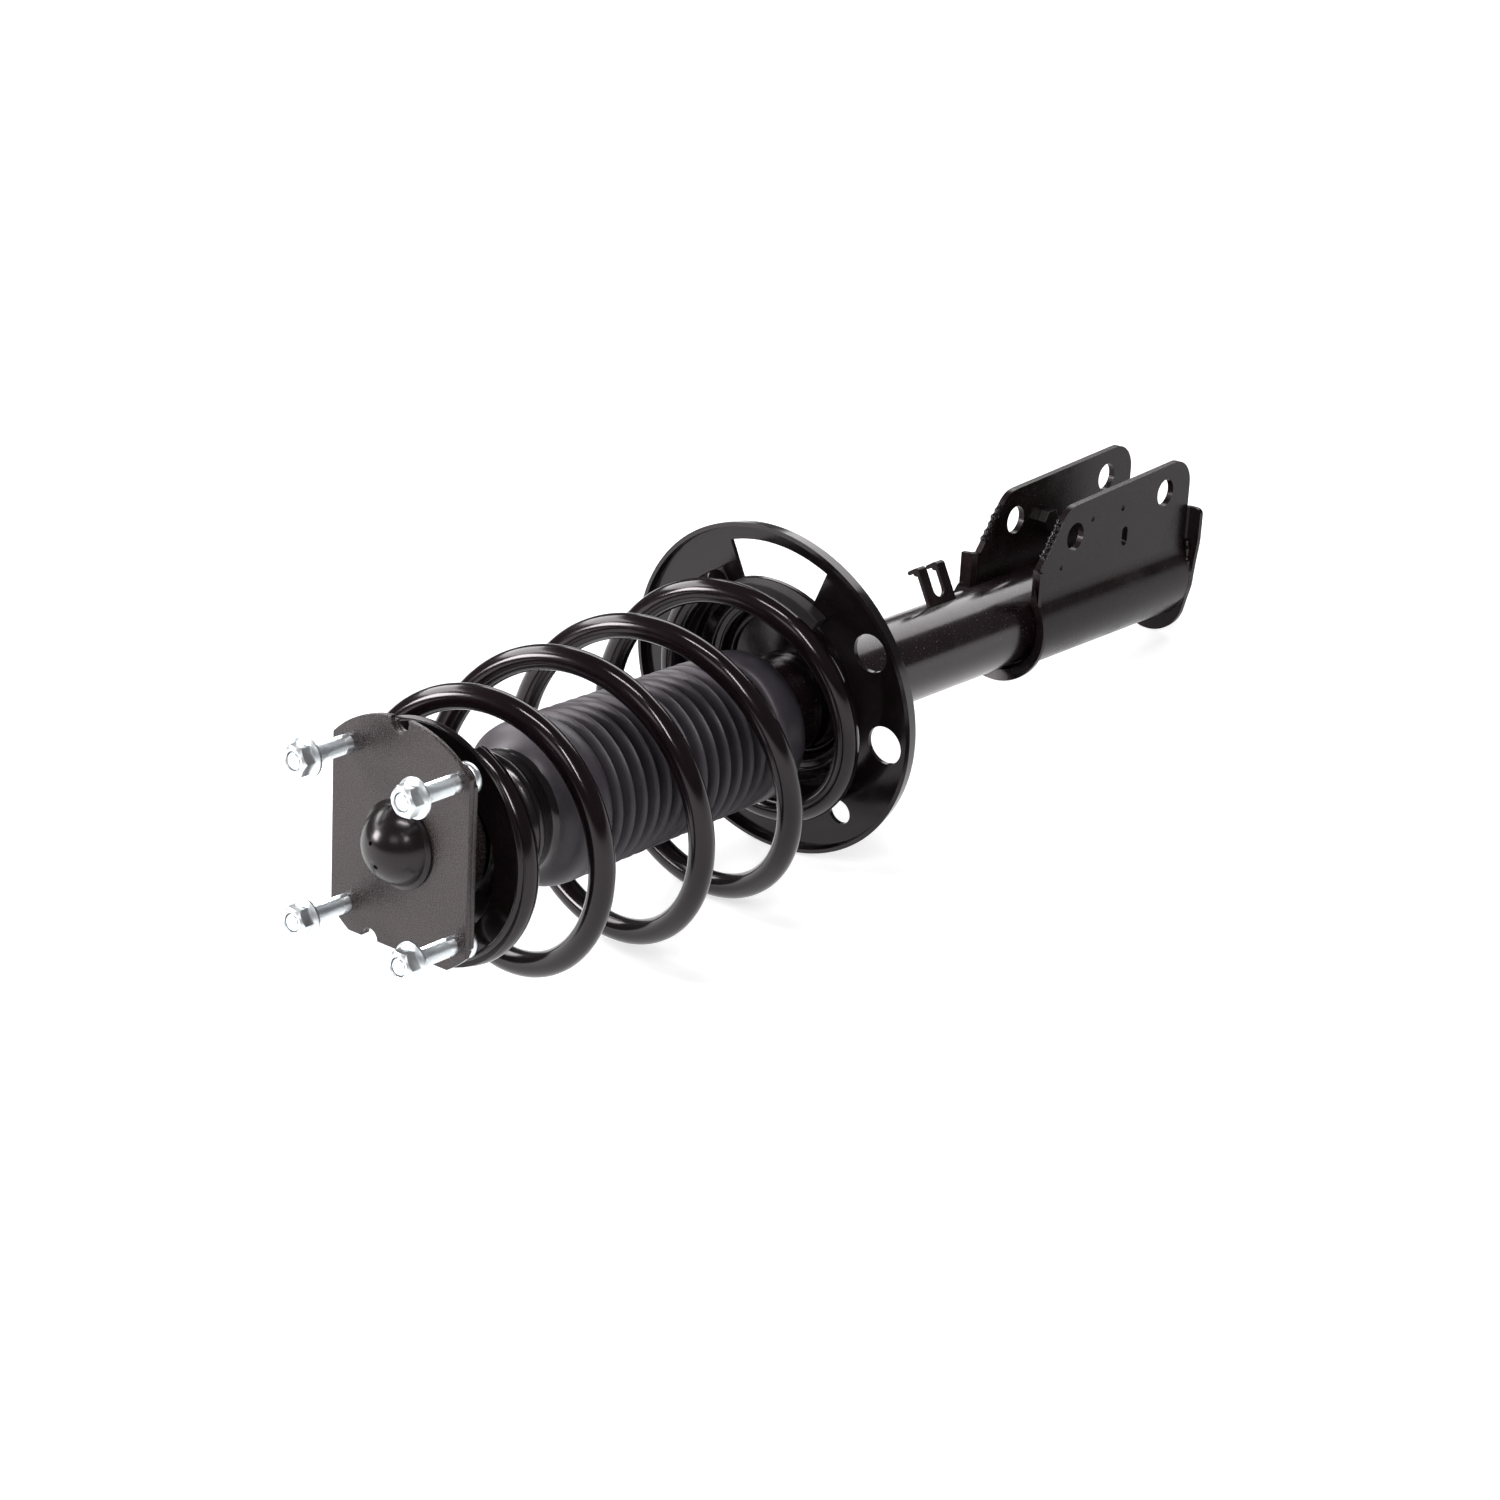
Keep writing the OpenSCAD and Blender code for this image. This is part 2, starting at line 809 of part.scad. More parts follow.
// Part ring between two angles, counted from straight up toward the near side
module ring_sector(x, length, outer, inner, from, to) {
  on_axis(x)
    rotate([0, 0, 90 + from])
      rotate_extrude(angle = to - from)
        translate([inner, 0])
          square([outer - inner, length]);
}

// Stepped pan with a rolled rim, an arched window at the top and round holes on the near side
module lower_seat() {
  mid = seat_t / 2;
  step_r = (land_r + tube_r) / 2 + lower_rise / 2;
  drain_r = 3;
  color("#181617")
    difference() {
      union() {
        on_lower_seat()
          on_axis()
            rotate_extrude($fn = 120)
              sheet_path([
                [lower_seat_r - mid, -rim_depth + seat_t],
                [lower_seat_r - mid - 1, mid],
                [land_r - 3, mid],
                [land_r - 7, pan_depth / 2],
                [step_r, pan_depth / 2 + 1],
                [step_r - 4, pan_depth],
                [lower_rise + 1, pan_depth]
              ], seat_t);
        on_axis(lower_seat_x + pan_depth / 2)
          cylinder(h = seat_hub_h, r = tube_r + fit + seat_t);
      }
      on_axis(lower_seat_x - pan_depth)
        cylinder(h = 3 * seat_hub_h, r = tube_r + fit);
      on_lower_seat() {
        ring_sector(-over, seat_t + 2 * over, window_outer_r, window_inner_r, window_from, window_to);
        for (a = [60, 100])
          rotate([a, 0, 0])
            translate([0, 0, hole_ring_r])
              on_axis(-over)
                cylinder(h = seat_t + 2 * over, r = seat_hole_r);
        for (a = [145, 215])
          rotate([a, 0, 0])
            translate([0, 0, hole_ring_r])
              on_axis(-over)
                cylinder(h = seat_t + 2 * over, r = seat_hole_r * 0.65);
        rotate([-10, 0, 0])
          translate([0, 0, (step_r + land_r) / 2 - 3])
            on_axis(0)
              cylinder(h = pan_depth, r = drain_r, $fn = 24);
      }
    }
}

// Rubber pad under the part of the bottom coil that lies on the seat, and a stop past its tip
module lower_insulator() {
  tip_angle = 360 * (spring_turns - ceil(spring_turns));
  pad_angle = 140;
  pad_r = bottom_coil_r + wire_r - 1;
  color("#141414")
    on_lower_seat() {
      ring_sector(-pad_t, pad_t, pad_r, land_r, tip_angle - pad_angle, tip_angle);
      ring_sector(-stop_h, stop_h, window_inner_r - soft, land_r - 2, stop_from, stop_to);
    }
}

// Points of an arc
function arc(x, z, r, from, to, steps = 8) =
  [for (i = [0:steps]) let (a = from + (to - from) * i / steps) [x + r * cos(a), z + r * sin(a)]];

// Cross-section of the bracket: round under the tube, drawn in smoothly to the ears
module bracket_section() {
  blend_r = 18;
  blend_y = ear_out + blend_r;
  blend_z = sqrt(pow(wrap_out_r + blend_r, 2) - blend_y * blend_y);
  blend_angle = atan2(blend_z, blend_y);
  difference() {
    union() {
      circle(r = wrap_out_r);
      translate([-ear_out, 0])
        square([2 * ear_out, 2 * far_hole_z]);
      for (side = [0, 1])
        mirror([side, 0])
          polygon(concat(
            arc(blend_y, blend_z, blend_r, 180, 180 + blend_angle),
            [(wrap_r + mid_t) * [cos(blend_angle), sin(blend_angle)], [ear_in + mid_t, blend_z]]
          ));
    }
    circle(r = wrap_r);
    translate([-ear_in, 0])
      square([2 * ear_in, 3 * far_hole_z]);
  }
}

// Side outline of the ears: a sloping front edge, and a top edge along the holes
module ear_outline() {
  low = -2 * tube_r;
  top_z = hole_z + ear_margin;
  back_x = bracket_end_x - ear_corner_r;
  back_z = top_z - ear_corner_r + (back_x - hole_x) * tan(top_slope);
  top_angle = 90 + top_slope;
  front_angle = 145;
  front = arc(hole_x, top_z - ear_corner_r, ear_corner_r, front_angle, top_angle);
  back = arc(back_x, back_z, ear_corner_r, top_angle, 0);
  polygon(concat([[bracket_x, low], [bracket_x, shoulder_z]], front, back, [[bracket_end_x, low]]));
}

// Outward flange at one end of the bracket, from shoulder to shoulder round the tube
module end_flange(x, side, height, round_w) {
  inset = bracket_t * 0.1;
  root = bracket_t * 0.8;
  shoulder_from = tube_r * 0.66;
  shoulder_angle = 36;
  module flange_profile(r, w) {
    polygon([
      [r, -side * 8],
      [r, side * 2],
      [r + 2, side * 5],
      [r + root / 2 + w, side * 7],
      [r + root / 2 + w, side * 4],
      [r + root + 1, side * 2],
      [r + root, 0],
      [r + root, -side * 8]
    ]);
  }
  on_axis(x)
    rotate([0, 0, 180 - shoulder_angle])
      rotate_extrude(angle = 180 + 2 * shoulder_angle, $fn = 96)
        flange_profile(wrap_r + inset, round_w);
  for (y = [0, 1])
    translate([x, 0, shoulder_from])
      mirror([0, y, 0])
        rotate([0, 0, 90])
          linear_extrude(height - shoulder_from)
            mirror([0, 1, 0])
              flange_profile(ear_in + inset, round_w);
}

// Outline of the rear flange: wide tabs beside the ears, and a low lip under the tube
module rear_outline() {
  corner_r = 4;
  tab_y = wrap_out_r + bracket_t / 2;
  low_z = wrap_r - wrap_out_r - rear_lip;
  side_angle = asin(bracket_t / -low_z);
  side_to = [cos(side_angle), -sin(side_angle)];
  circle(r = wrap_out_r);
  translate([0, low_z])
    circle(r = wrap_r);
  for (side = [0, 1])
    mirror([side, 0]) {
      polygon([[0, 0], wrap_out_r * side_to, [0, low_z] + wrap_r * side_to, [0, low_z]]);
      polygon(concat(
        [[0, 0], [wrap_out_r, 0], [tab_y, tube_r]],
        arc(tab_y - corner_r, rear_tab_z - corner_r, corner_r, 0, 90),
        [[0, rear_tab_z]]
      ));
    }
}

module knuckle_bracket() {
  slot_half = 3;
  slot_drop = 6;
  slot_x = hole_x + hole_pitch * 0.56;
  slot_z = hole_z - ear_margin * 0.55;
  color("#1a1819")
    difference() {
      union() {
        intersection() {
          on_axis(bracket_x)
            linear_extrude(bracket_end_x - bracket_x)
              bracket_section();
          translate([0, 2 * ear_out, 0])
            rotate([90, 0, 0])
              linear_extrude(4 * ear_out)
                ear_outline();
        }
        end_flange(bracket_x, -1, shoulder_z, flare_w);
        intersection() {
          end_flange(bracket_end_x, 1, rear_tab_z, rear_lip + bracket_t);
          on_axis(bracket_end_x - 2 * bracket_t)
            linear_extrude(4 * bracket_t)
              rear_outline();
        }
      }
      for (p = [[hole_x, hole_z], [far_hole_x, far_hole_z]])
        translate([p[0], 0, p[1]])
          rotate([90, 0, 0])
            cylinder(h = 4 * ear_out, r = hole_r, center = true);
      for (dz = [-1, 1])
        translate([slot_x, -ear_in + over, slot_z + dz * slot_drop / 2])
          rotate([90, 0, 0])
            cylinder(h = bracket_t + 2 * over, r = slot_half, $fn = 32);
      translate([slot_x - slot_half, -ear_out - over, slot_z - slot_drop / 2])
        cube([2 * slot_half, bracket_t + 2 * over, slot_drop]);
      translate([bolt_x, ear_in - over, bolt_z])
        rotate([-90, 0, 0])
          cylinder(h = bracket_t + 2 * over, r = bolt_d / 2 + fit);
    }
}

// Two-pronged clip for the brake hose, welded on top of the tube, with hooked tips
module hose_bracket() {
  clip_t = 2.5;
  clip_w = 25;
  clip_x = 434;
  clip_y = 3;
  clip_h = 20.5;
  clip_foot = 6;
  clip_lean = 27;
  prong_gap = 10;
  gap_x = clip_w / 2;
  gap_z = prong_gap / 2 + 3;
  hook_l = 5;
  hook_fall = 6;
  weld_z = sqrt(tube_r * tube_r - clip_y * clip_y);
  color("#1b1a1a")
    difference() {
      translate([clip_x, clip_y, weld_z])
        rotate([-clip_lean, 0, 0])
          difference() {
            union() {
              translate([0, -clip_t, -clip_foot])
                cube([clip_w, clip_t, clip_h + clip_foot]);
              translate([0, 0, clip_h])
                rotate([-hook_fall, 0, 0]) {
                  cube([clip_w, hook_l, clip_t]);
                  translate([0, hook_l, clip_t / 2])
                    rotate([0, 90, 0])
                      cylinder(h = clip_w, r = clip_t / 2);
                }
              translate([0, 0, clip_h])
                rotate([0, 90, 0])
                  cylinder(h = clip_w, r = clip_t);
            }
            translate([gap_x - prong_gap / 2, -prong_gap, gap_z])
              cube([prong_gap, 3 * prong_gap, clip_h]);
            translate([gap_x, prong_gap, gap_z])
              rotate([90, 0, 0])
                cylinder(h = 2 * prong_gap, r = prong_gap / 2);
          }
      on_axis(clip_x - over)
        cylinder(h = clip_w + 2 * over, r = tube_r + fit);
    }
}

// Hex bolt through the far ear, with its head between the ears
module bracket_bolt() {
  head_h = 6;
  head_r = bolt_d * 0.9;
  tail_h = 4;
  color("#242323")
    translate([bolt_x, ear_in, bolt_z])
      rotate([-90, 0, 0]) {
        cylinder(h = bracket_t + tail_h, r = bolt_d / 2);
        translate([0, 0, -head_h])
          cylinder(h = head_h, r = head_r, $fn = 6);
      }
}

mount_plate();
mount_shell();
mount_studs();
flange_nuts();
isolator_rubber();
core_sleeve();
core_washer();
rod_nut();
dome_cap();
upper_race();
piston_rod();
bump_stop();
rebound_stop();
piston();
piston_band();
piston_shims();
piston_nut();
upper_seat();
lower_race();
bearing_cage();
bearing_balls();
upper_insulator();
coil_spring();
dust_boot();
reserve_tube();
inner_tube();
tube_cap();
rod_seal();
rod_guide();
base_valve();
base_shims();
end_cap();
lower_seat();
lower_insulator();
knuckle_bracket();
hose_bracket();
bracket_bolt();
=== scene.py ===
# %% [markdown]
# # A front suspension strut, dressed for looks
# This lesson dresses a packed engineering model of a car's front strut. The
# damper lies along X: the studded top mount is at x = 0 and the knuckle bracket
# is at the far end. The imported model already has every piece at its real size,
# so the lesson adds only what the eye needs: round spring wire, threads, rolled
# and pressed sheet, welds, rubber folds, and the finish of each surface.

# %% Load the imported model
import bpy
import json
import math
from mathutils import Matrix, Vector
from mathutils.kdtree import KDTree


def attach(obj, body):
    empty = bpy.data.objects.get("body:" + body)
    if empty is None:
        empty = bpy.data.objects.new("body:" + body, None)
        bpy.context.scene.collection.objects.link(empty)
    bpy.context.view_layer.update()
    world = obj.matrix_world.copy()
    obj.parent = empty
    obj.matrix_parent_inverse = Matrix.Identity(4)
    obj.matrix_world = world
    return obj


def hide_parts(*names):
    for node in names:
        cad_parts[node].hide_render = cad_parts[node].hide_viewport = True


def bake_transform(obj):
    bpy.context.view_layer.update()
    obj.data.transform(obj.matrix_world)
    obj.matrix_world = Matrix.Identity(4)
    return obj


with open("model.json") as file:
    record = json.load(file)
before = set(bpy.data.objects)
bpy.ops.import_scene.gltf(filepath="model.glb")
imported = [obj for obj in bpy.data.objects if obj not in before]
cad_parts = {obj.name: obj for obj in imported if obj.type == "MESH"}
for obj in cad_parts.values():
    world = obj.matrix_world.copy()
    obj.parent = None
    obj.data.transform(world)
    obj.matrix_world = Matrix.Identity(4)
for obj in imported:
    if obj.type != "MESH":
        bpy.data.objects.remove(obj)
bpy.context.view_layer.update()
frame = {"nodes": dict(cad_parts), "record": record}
nodes = frame["nodes"]
print("pieces in the packed model:", len(nodes))

# %% [markdown]
# Blender works in metres and a strut is drawn in millimetres. One small helper
# turns a point in millimetres into a Blender vector, so every size of the strut
# below can be read off a ruler. The others select a piece before an operator acts
# on it, because an operator acts on all that is selected.

# %% Millimetres and selection
MM = 0.001


def mm(x, y, z):
    """Point in metres from millimetres."""
    return Vector((x * MM, y * MM, z * MM))


def deselect():
    """Go back to object mode and clear the selection."""
    if bpy.context.mode != "OBJECT":
        bpy.ops.object.mode_set(mode="OBJECT")
    bpy.ops.object.select_all(action="DESELECT")


def pick(thing):
    """Select one object and make it the active one."""
    deselect()
    thing.select_set(True)
    bpy.context.view_layer.objects.active = thing


def edit(thing, mode="FACE"):
    """Open an object in edit mode with everything selected."""
    pick(thing)
    bpy.ops.object.mode_set(mode="EDIT")
    bpy.ops.mesh.select_mode(type=mode)
    bpy.ops.mesh.select_all(action="SELECT")


def done(thing):
    """Leave edit mode and put the place of the piece into its mesh."""
    pick(thing)
    bpy.ops.object.transform_apply(location=True, rotation=True, scale=True)
    return thing


def apply_all(thing):
    """Apply every modifier of a piece, first to last."""
    pick(thing)
    for modifier in list(thing.modifiers):
        bpy.ops.object.modifier_apply(modifier=modifier.name)


def smooth(thing, degrees):
    """Shade round faces smooth and keep edges sharper than the angle."""
    pick(thing)
    bpy.ops.object.shade_smooth_by_angle(angle=math.radians(degrees))
    return thing


# %% [markdown]
# ## Finishes
# A finish is a small graph of shader nodes. Every one here reads Object
# coordinates, which are metres on the piece itself, so grain and dust keep their
# real size. These helpers make the parts of a graph: a noise, a ramp that turns a
# value into a colour, a mix of two colours, and the larger of two values.

# %% Helpers for shader nodes
MIX_SHARE = 0
MIX_FIRST = 6
MIX_SECOND = 7
MIX_RESULT = 2


def link(tree, source, out, target, into):
    """Wire an output of one node to an input of another, by name or number."""
    tree.links.new(source.outputs[out], target.inputs[into])


def noise(tree, scale, detail, roughness):
    """Noise on Object coordinates. The scale is cells per metre."""
    place = tree.nodes.new("ShaderNodeTexCoord")
    grain = tree.nodes.new("ShaderNodeTexNoise")
    grain.inputs["Scale"].default_value = scale
    grain.inputs["Detail"].default_value = detail
    grain.inputs["Roughness"].default_value = roughness
    link(tree, place, "Object", grain, "Vector")
    return grain


def ramp(tree, source, out, stops):
    """Colour ramp fed by a value; stops are (place, colour)."""
    band = tree.nodes.new("ShaderNodeValToRGB")
    while len(band.color_ramp.elements) < len(stops):
        band.color_ramp.elements.new(0.5)
    for element, (place, colour) in zip(band.color_ramp.elements, stops):
        element.position = place
        element.color = (*colour, 1)
    link(tree, source, out, band, "Fac")
    return band


def colour_mix(tree, how="MIX"):
    """Mix of two colours, whose sockets are numbered MIX_SHARE to MIX_RESULT."""
    mix = tree.nodes.new("ShaderNodeMix")
    mix.data_type = "RGBA"
    mix.blend_type = how
    return mix


def larger(tree, first, first_out, second, second_out):
    """Larger of two values."""
    node = tree.nodes.new("ShaderNodeMath")
    node.operation = "MAXIMUM"
    link(tree, first, first_out, node, 0)
    link(tree, second, second_out, node, 1)
    return node


def grey(value):
    """Colour with the same red, green and blue."""
    return (value, value, value)


# %% [markdown]
# Every finish has the same start: a principled shader, wide patches that vary
# the colour and the gloss, and a fine noise for bump. Some have specks of dust
# as well. Paint, rubber and plastic reflect with a faint warm tint.

# %% Helper for finishes
PATCH_SCALE = 38
PATCH_LOW = 0.3
PATCH_HIGH = 0.7
SPECK_SCALE = 1100
WARM_GLOSS = (1.0, 0.92, 0.95, 1)
finishes = {}


def dusted(tree, tint, dust, share):
    """Put specks of a dust colour over a tint, where the noise passes the share."""
    specks = ramp(tree, noise(tree, SPECK_SCALE, 1.0, 0.5), "Fac",
                  [(share[0], grey(0.0)), (share[1], grey(1.0))])
    mix = colour_mix(tree)
    link(tree, specks, "Color", mix, MIX_SHARE)
    link(tree, tint, "Color", mix, MIX_FIRST)
    mix.inputs[MIX_SECOND].default_value = (*dust, 1)
    return mix


def finish(name, colour, gloss, bump, metal=0.0, specular=0.5, dust=None, share=(0.70, 0.76)):
    """Principled finish. colour and gloss are a range from and to, gloss being the
    roughness. bump is its strength, cells per metre and depth in metres. dust is the
    colour of fine specks, and share the band of the noise where they grow."""
    material = bpy.data.materials.new(name)
    material.use_nodes = True
    tree = material.node_tree
    shader = tree.nodes["Principled BSDF"]
    shader.inputs["Metallic"].default_value = metal
    shader.inputs["Specular IOR Level"].default_value = specular
    if not metal:
        shader.inputs["Specular Tint"].default_value = WARM_GLOSS
    patches = noise(tree, PATCH_SCALE, 4.0, 0.6)
    tint = ramp(tree, patches, "Fac", [(PATCH_LOW, colour[0]), (PATCH_HIGH, colour[1])])
    if dust:
        link(tree, dusted(tree, tint, dust, share), MIX_RESULT, shader, "Base Color")
    else:
        link(tree, tint, "Color", shader, "Base Color")
    rough = ramp(tree, patches, "Fac", [(PATCH_LOW, grey(gloss[0])), (PATCH_HIGH, grey(gloss[1]))])
    link(tree, rough, "Color", shader, "Roughness")
    strength, cells, depth = bump
    lift = tree.nodes.new("ShaderNodeBump")
    lift.inputs["Strength"].default_value = strength
    lift.inputs["Distance"].default_value = depth
    link(tree, noise(tree, cells, 4.0, 0.6), "Fac", lift, "Height")
    link(tree, lift, "Normal", shader, "Normal")
    finishes[name] = material


def paint_with(thing, name):
    """Give a piece one finish, in all its material slots."""
    if not thing.material_slots:
        thing.data.materials.append(finishes[name])
    for slot in thing.material_slots:
        slot.material = finishes[name]


# %% [markdown]
# The spring seats wear gloss black paint that runs a little before it dries,
# which leaves an orange peel of about 3 mm. The bracket and the damper's tube
# have a finer grain and dust in their paint. The spring's coat is smooth. The
# mount plates have a dark coat whose sandy grain and fine dust make it look
# grey. The dust boot is dull rubber with a purple bloom, and its neck is shiny.

# %% Make the finishes
finish("black_paint", [(0.0040, 0.0028, 0.0031), (0.0070, 0.0048, 0.0054)], (0.10, 0.18),
       specular=0.36, bump=(0.05, 300, 0.0004))
finish("bracket_paint", [(0.0040, 0.0020, 0.0023), (0.0160, 0.0100, 0.0108)], (0.16, 0.32),
       specular=0.16, bump=(0.10, 1600, 0.0003), dust=(0.05, 0.043, 0.044))
finish("tube_paint", [(0.0066, 0.0034, 0.0044), (0.0110, 0.0066, 0.0080)], (0.12, 0.24),
       bump=(0.06, 1400, 0.0003), dust=(0.12, 0.11, 0.11))
finish("spring_paint", [(0.0042, 0.0022, 0.0029), (0.0068, 0.0038, 0.0050)], (0.13, 0.17),
       specular=0.36, bump=(0.004, 300, 0.0002))
finish("plate_paint", [(0.0120, 0.0088, 0.0088), (0.0170, 0.0126, 0.0126)], (0.13, 0.18),
       specular=0.49, bump=(0.5, 900, 0.0004), dust=(0.036, 0.028, 0.028), share=(0.36, 0.72))
finish("boot_rubber", [(0.0250, 0.0215, 0.0275), (0.0450, 0.0392, 0.0490)], (0.38, 0.48),
       bump=(0.10, 1500, 0.0003))
finish("neck_rubber", [(0.0050, 0.0040, 0.0044), (0.0085, 0.0068, 0.0075)], (0.14, 0.22),
       bump=(0.03, 500, 0.0003))
finish("dome_rubber", [(0.0070, 0.0052, 0.0054), (0.0115, 0.0088, 0.0092)], (0.19, 0.27),
       specular=0.36, bump=(0.06, 900, 0.0003))
finish("bolt_coat", [(0.030, 0.026, 0.026), (0.045, 0.040, 0.040)], (0.16, 0.24),
       metal=0.6, bump=(0.05, 1200, 0.0002))
finish("pad_rubber", [(0.0088, 0.0064, 0.0070), (0.0140, 0.0108, 0.0116)], (0.5, 0.62),
       specular=0.35, bump=(0.2, 1800, 0.0003))
finish("zinc", [(0.70, 0.73, 0.75), (0.78, 0.82, 0.84)], (0.30, 0.36),
       metal=1.0, bump=(0.02, 900, 0.0001))
finish("turned_steel", [(0.36, 0.36, 0.37), (0.47, 0.47, 0.48)], (0.28, 0.40),
       metal=1.0, bump=(0.10, 1100, 0.0002))
finish("bearing_steel", [(0.50, 0.50, 0.51), (0.58, 0.58, 0.59)], (0.12, 0.2),
       metal=1.0, bump=(0.05, 900, 0.0001))
finish("cage_plastic", [(0.60, 0.57, 0.48), (0.68, 0.65, 0.55)], (0.42, 0.52),
       bump=(0.08, 700, 0.0003))
finish("rod_chrome", [(0.60, 0.61, 0.63), (0.66, 0.67, 0.69)], (0.05, 0.1),
       metal=1.0, bump=(0.04, 1500, 0.0001))
finish("foam", [(0.38, 0.28, 0.08), (0.50, 0.38, 0.12)], (0.7, 0.85),
       specular=0.3, bump=(0.6, 1500, 0.0006))
finish("sintered_iron", [(0.16, 0.16, 0.17), (0.26, 0.26, 0.27)], (0.42, 0.58),
       metal=1.0, bump=(0.3, 2200, 0.0003))
finish("band_plastic", [(0.03, 0.03, 0.03), (0.06, 0.06, 0.06)], (0.4, 0.5),
       bump=(0.08, 900, 0.0002))
print("finishes:", ", ".join(sorted(finishes)))

# %% [markdown]
# The record already says which finish each piece of the model has, and on which
# moving body it rides. Reading both from there keeps the looks and the
# engineering data the same.

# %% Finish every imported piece
slot_of = {entry["node"]: entry["material_slot"] for entry in frame["record"]["subparts"]}
body_of = {}
for body, members in frame["record"]["behaviour"]["bodies"].items():
    for node in members:
        body_of[node] = body
for node, thing in nodes.items():
    paint_with(thing, slot_of[node])
print("packed pieces with a finish:", len(slot_of))

# %% [markdown]
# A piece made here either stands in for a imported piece, on the same body and
# with the same finish, or is a small extra one, such as a weld, that rides along.

# %% Helpers for new pieces
def coat(thing, slot):
    """Put the named finish on a piece."""
    paint_with(thing, slot)


def stand_in(thing, node):
    """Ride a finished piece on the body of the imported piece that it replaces."""
    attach(thing, body_of[node])
    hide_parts(node)
    coat(thing, slot_of[node])


def add_on(thing, body, slot):
    """Ride a small extra piece on a body."""
    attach(thing, body)
    coat(thing, slot)


# %% [markdown]
# ## Turned shapes
# Many pieces of a strut are round: a profile turned about an axis along X. By
# hand, one draws the profile as a chain of points, extruding the last point to
# the next place, and spins the chain. Points that meet are merged, and the
# normals are recalculated, because a spin can leave them pointing inward. A point
# on the axis is drawn a hundredth of a millimetre off it, so that its ring closes
# to one point in the merge.

# %% Helpers for turned shapes
AT_AXIS = 0.01


def chain(name, points):
    """Chain of edges through points in metres, drawn by extruding one point."""
    deselect()
    bpy.ops.mesh.primitive_plane_add(size=MM)
    thing = bpy.context.object
    thing.name = name
    edit(thing, "VERT")
    bpy.ops.mesh.merge(type="CENTER")
    bpy.ops.transform.translate(value=points[0])
    for before, after in zip(points, points[1:]):
        bpy.ops.mesh.extrude_vertices_move(TRANSFORM_OT_translate={"value": after - before})
    return thing


def turned(name, profile, steps, centre=(0, 0), closed=True):
    """Spin a profile of (x, radius) pairs, in millimetres, about an axis along X."""
    y, z = centre
    points = [mm(x, y, z + r) for x, r in profile]
    if closed:
        points.append(points[0])
    thing = chain(name, points)
    bpy.ops.mesh.select_all(action="SELECT")
    bpy.ops.mesh.spin(steps=steps, angle=2 * math.pi, center=mm(0, y, z), axis=(1, 0, 0))
    bpy.ops.mesh.select_all(action="SELECT")
    bpy.ops.mesh.remove_doubles(threshold=0.005 * MM)
    bpy.ops.mesh.normals_make_consistent(inside=False)
    return done(thing)


def placed_copy(source, name, step):
    """Copy of a piece with its own mesh, moved by a vector in metres."""
    thing = source.copy()
    thing.data = source.data.copy()
    thing.name = name
    bpy.context.scene.collection.objects.link(thing)
    thing.data.transform(Matrix.Translation(step))
    return thing


def join(pieces, name):
    """Join pieces into one object with that name."""
    deselect()
    for piece in pieces:
        piece.select_set(True)
    bpy.context.view_layer.objects.active = pieces[0]
    bpy.ops.object.join()
    pieces[0].name = name
    return pieces[0]


def cut(thing, tool, how="DIFFERENCE"):
    """Boolean with a tool piece, which is deleted afterwards."""
    pick(thing)
    change = thing.modifiers.new("cut", "BOOLEAN")
    change.operation = how
    change.solver = "EXACT"
    change.object = tool
    bpy.ops.object.modifier_apply(modifier="cut")
    bpy.data.objects.remove(tool)
    return thing


def bevel_edges(thing, width, segments=2, sharp=32):
    """Round the edges that are sharper than an angle, by a width in millimetres."""
    bevel = thing.modifiers.new("round", "BEVEL")
    bevel.limit_method = "ANGLE"
    bevel.angle_limit = math.radians(sharp)
    bevel.width = width * MM
    bevel.segments = segments
    apply_all(thing)


# %% [markdown]
# ## Studs
# Each stud is a bolt pressed through the two plates from behind: a round head, a
# plain collar at the plate, and a rolled M10 thread with a pitch of 1.25 mm. The
# thread is one tooth, turned and moved along at once by the Screw modifier, over
# a turned core. One stud is made and copied to the four places.

# %% Studs with rolled threads
STUD_R = 5
ROOT_R = STUD_R - 0.75
STUD_TIP = -36
THREAD_END = -4
PITCH = 1.25
THREAD_STEPS = 20
HEAD_X = 6
HEAD_H = 5.0
HEAD_R = 9.0
STUD_Y = 37
STUD_Z = 43
STUD_YZ = [(y, z) for y in (-STUD_Y, STUD_Y) for z in (-STUD_Z, STUD_Z)]


def thread(name, start, end, core, crest):
    """Helical tooth between two places along X."""
    tooth = [(0, core), (0.45, crest), (0.62, crest), (1.07, core)]
    thing = chain(name, [mm(start + x, 0, r) for x, r in tooth])
    done(thing)
    screw = thing.modifiers.new("screw", "SCREW")
    screw.axis = "X"
    screw.screw_offset = PITCH * MM
    screw.iterations = int((end - start) / PITCH)
    screw.steps = THREAD_STEPS
    screw.render_steps = THREAD_STEPS
    apply_all(thing)
    edit(thing, "EDGE")
    bpy.ops.mesh.remove_doubles(threshold=0.004 * MM)
    bpy.ops.mesh.normals_make_consistent(inside=False)
    return done(thing)


def copies_at_studs(piece, name, joined_name):
    """One joined piece with a copy at each stud's place; the first one goes."""
    copies = [placed_copy(piece, "%s_%d" % (name, i), mm(0, y, z))
              for i, (y, z) in enumerate(STUD_YZ)]
    bpy.data.objects.remove(piece)
    return join(copies, joined_name)


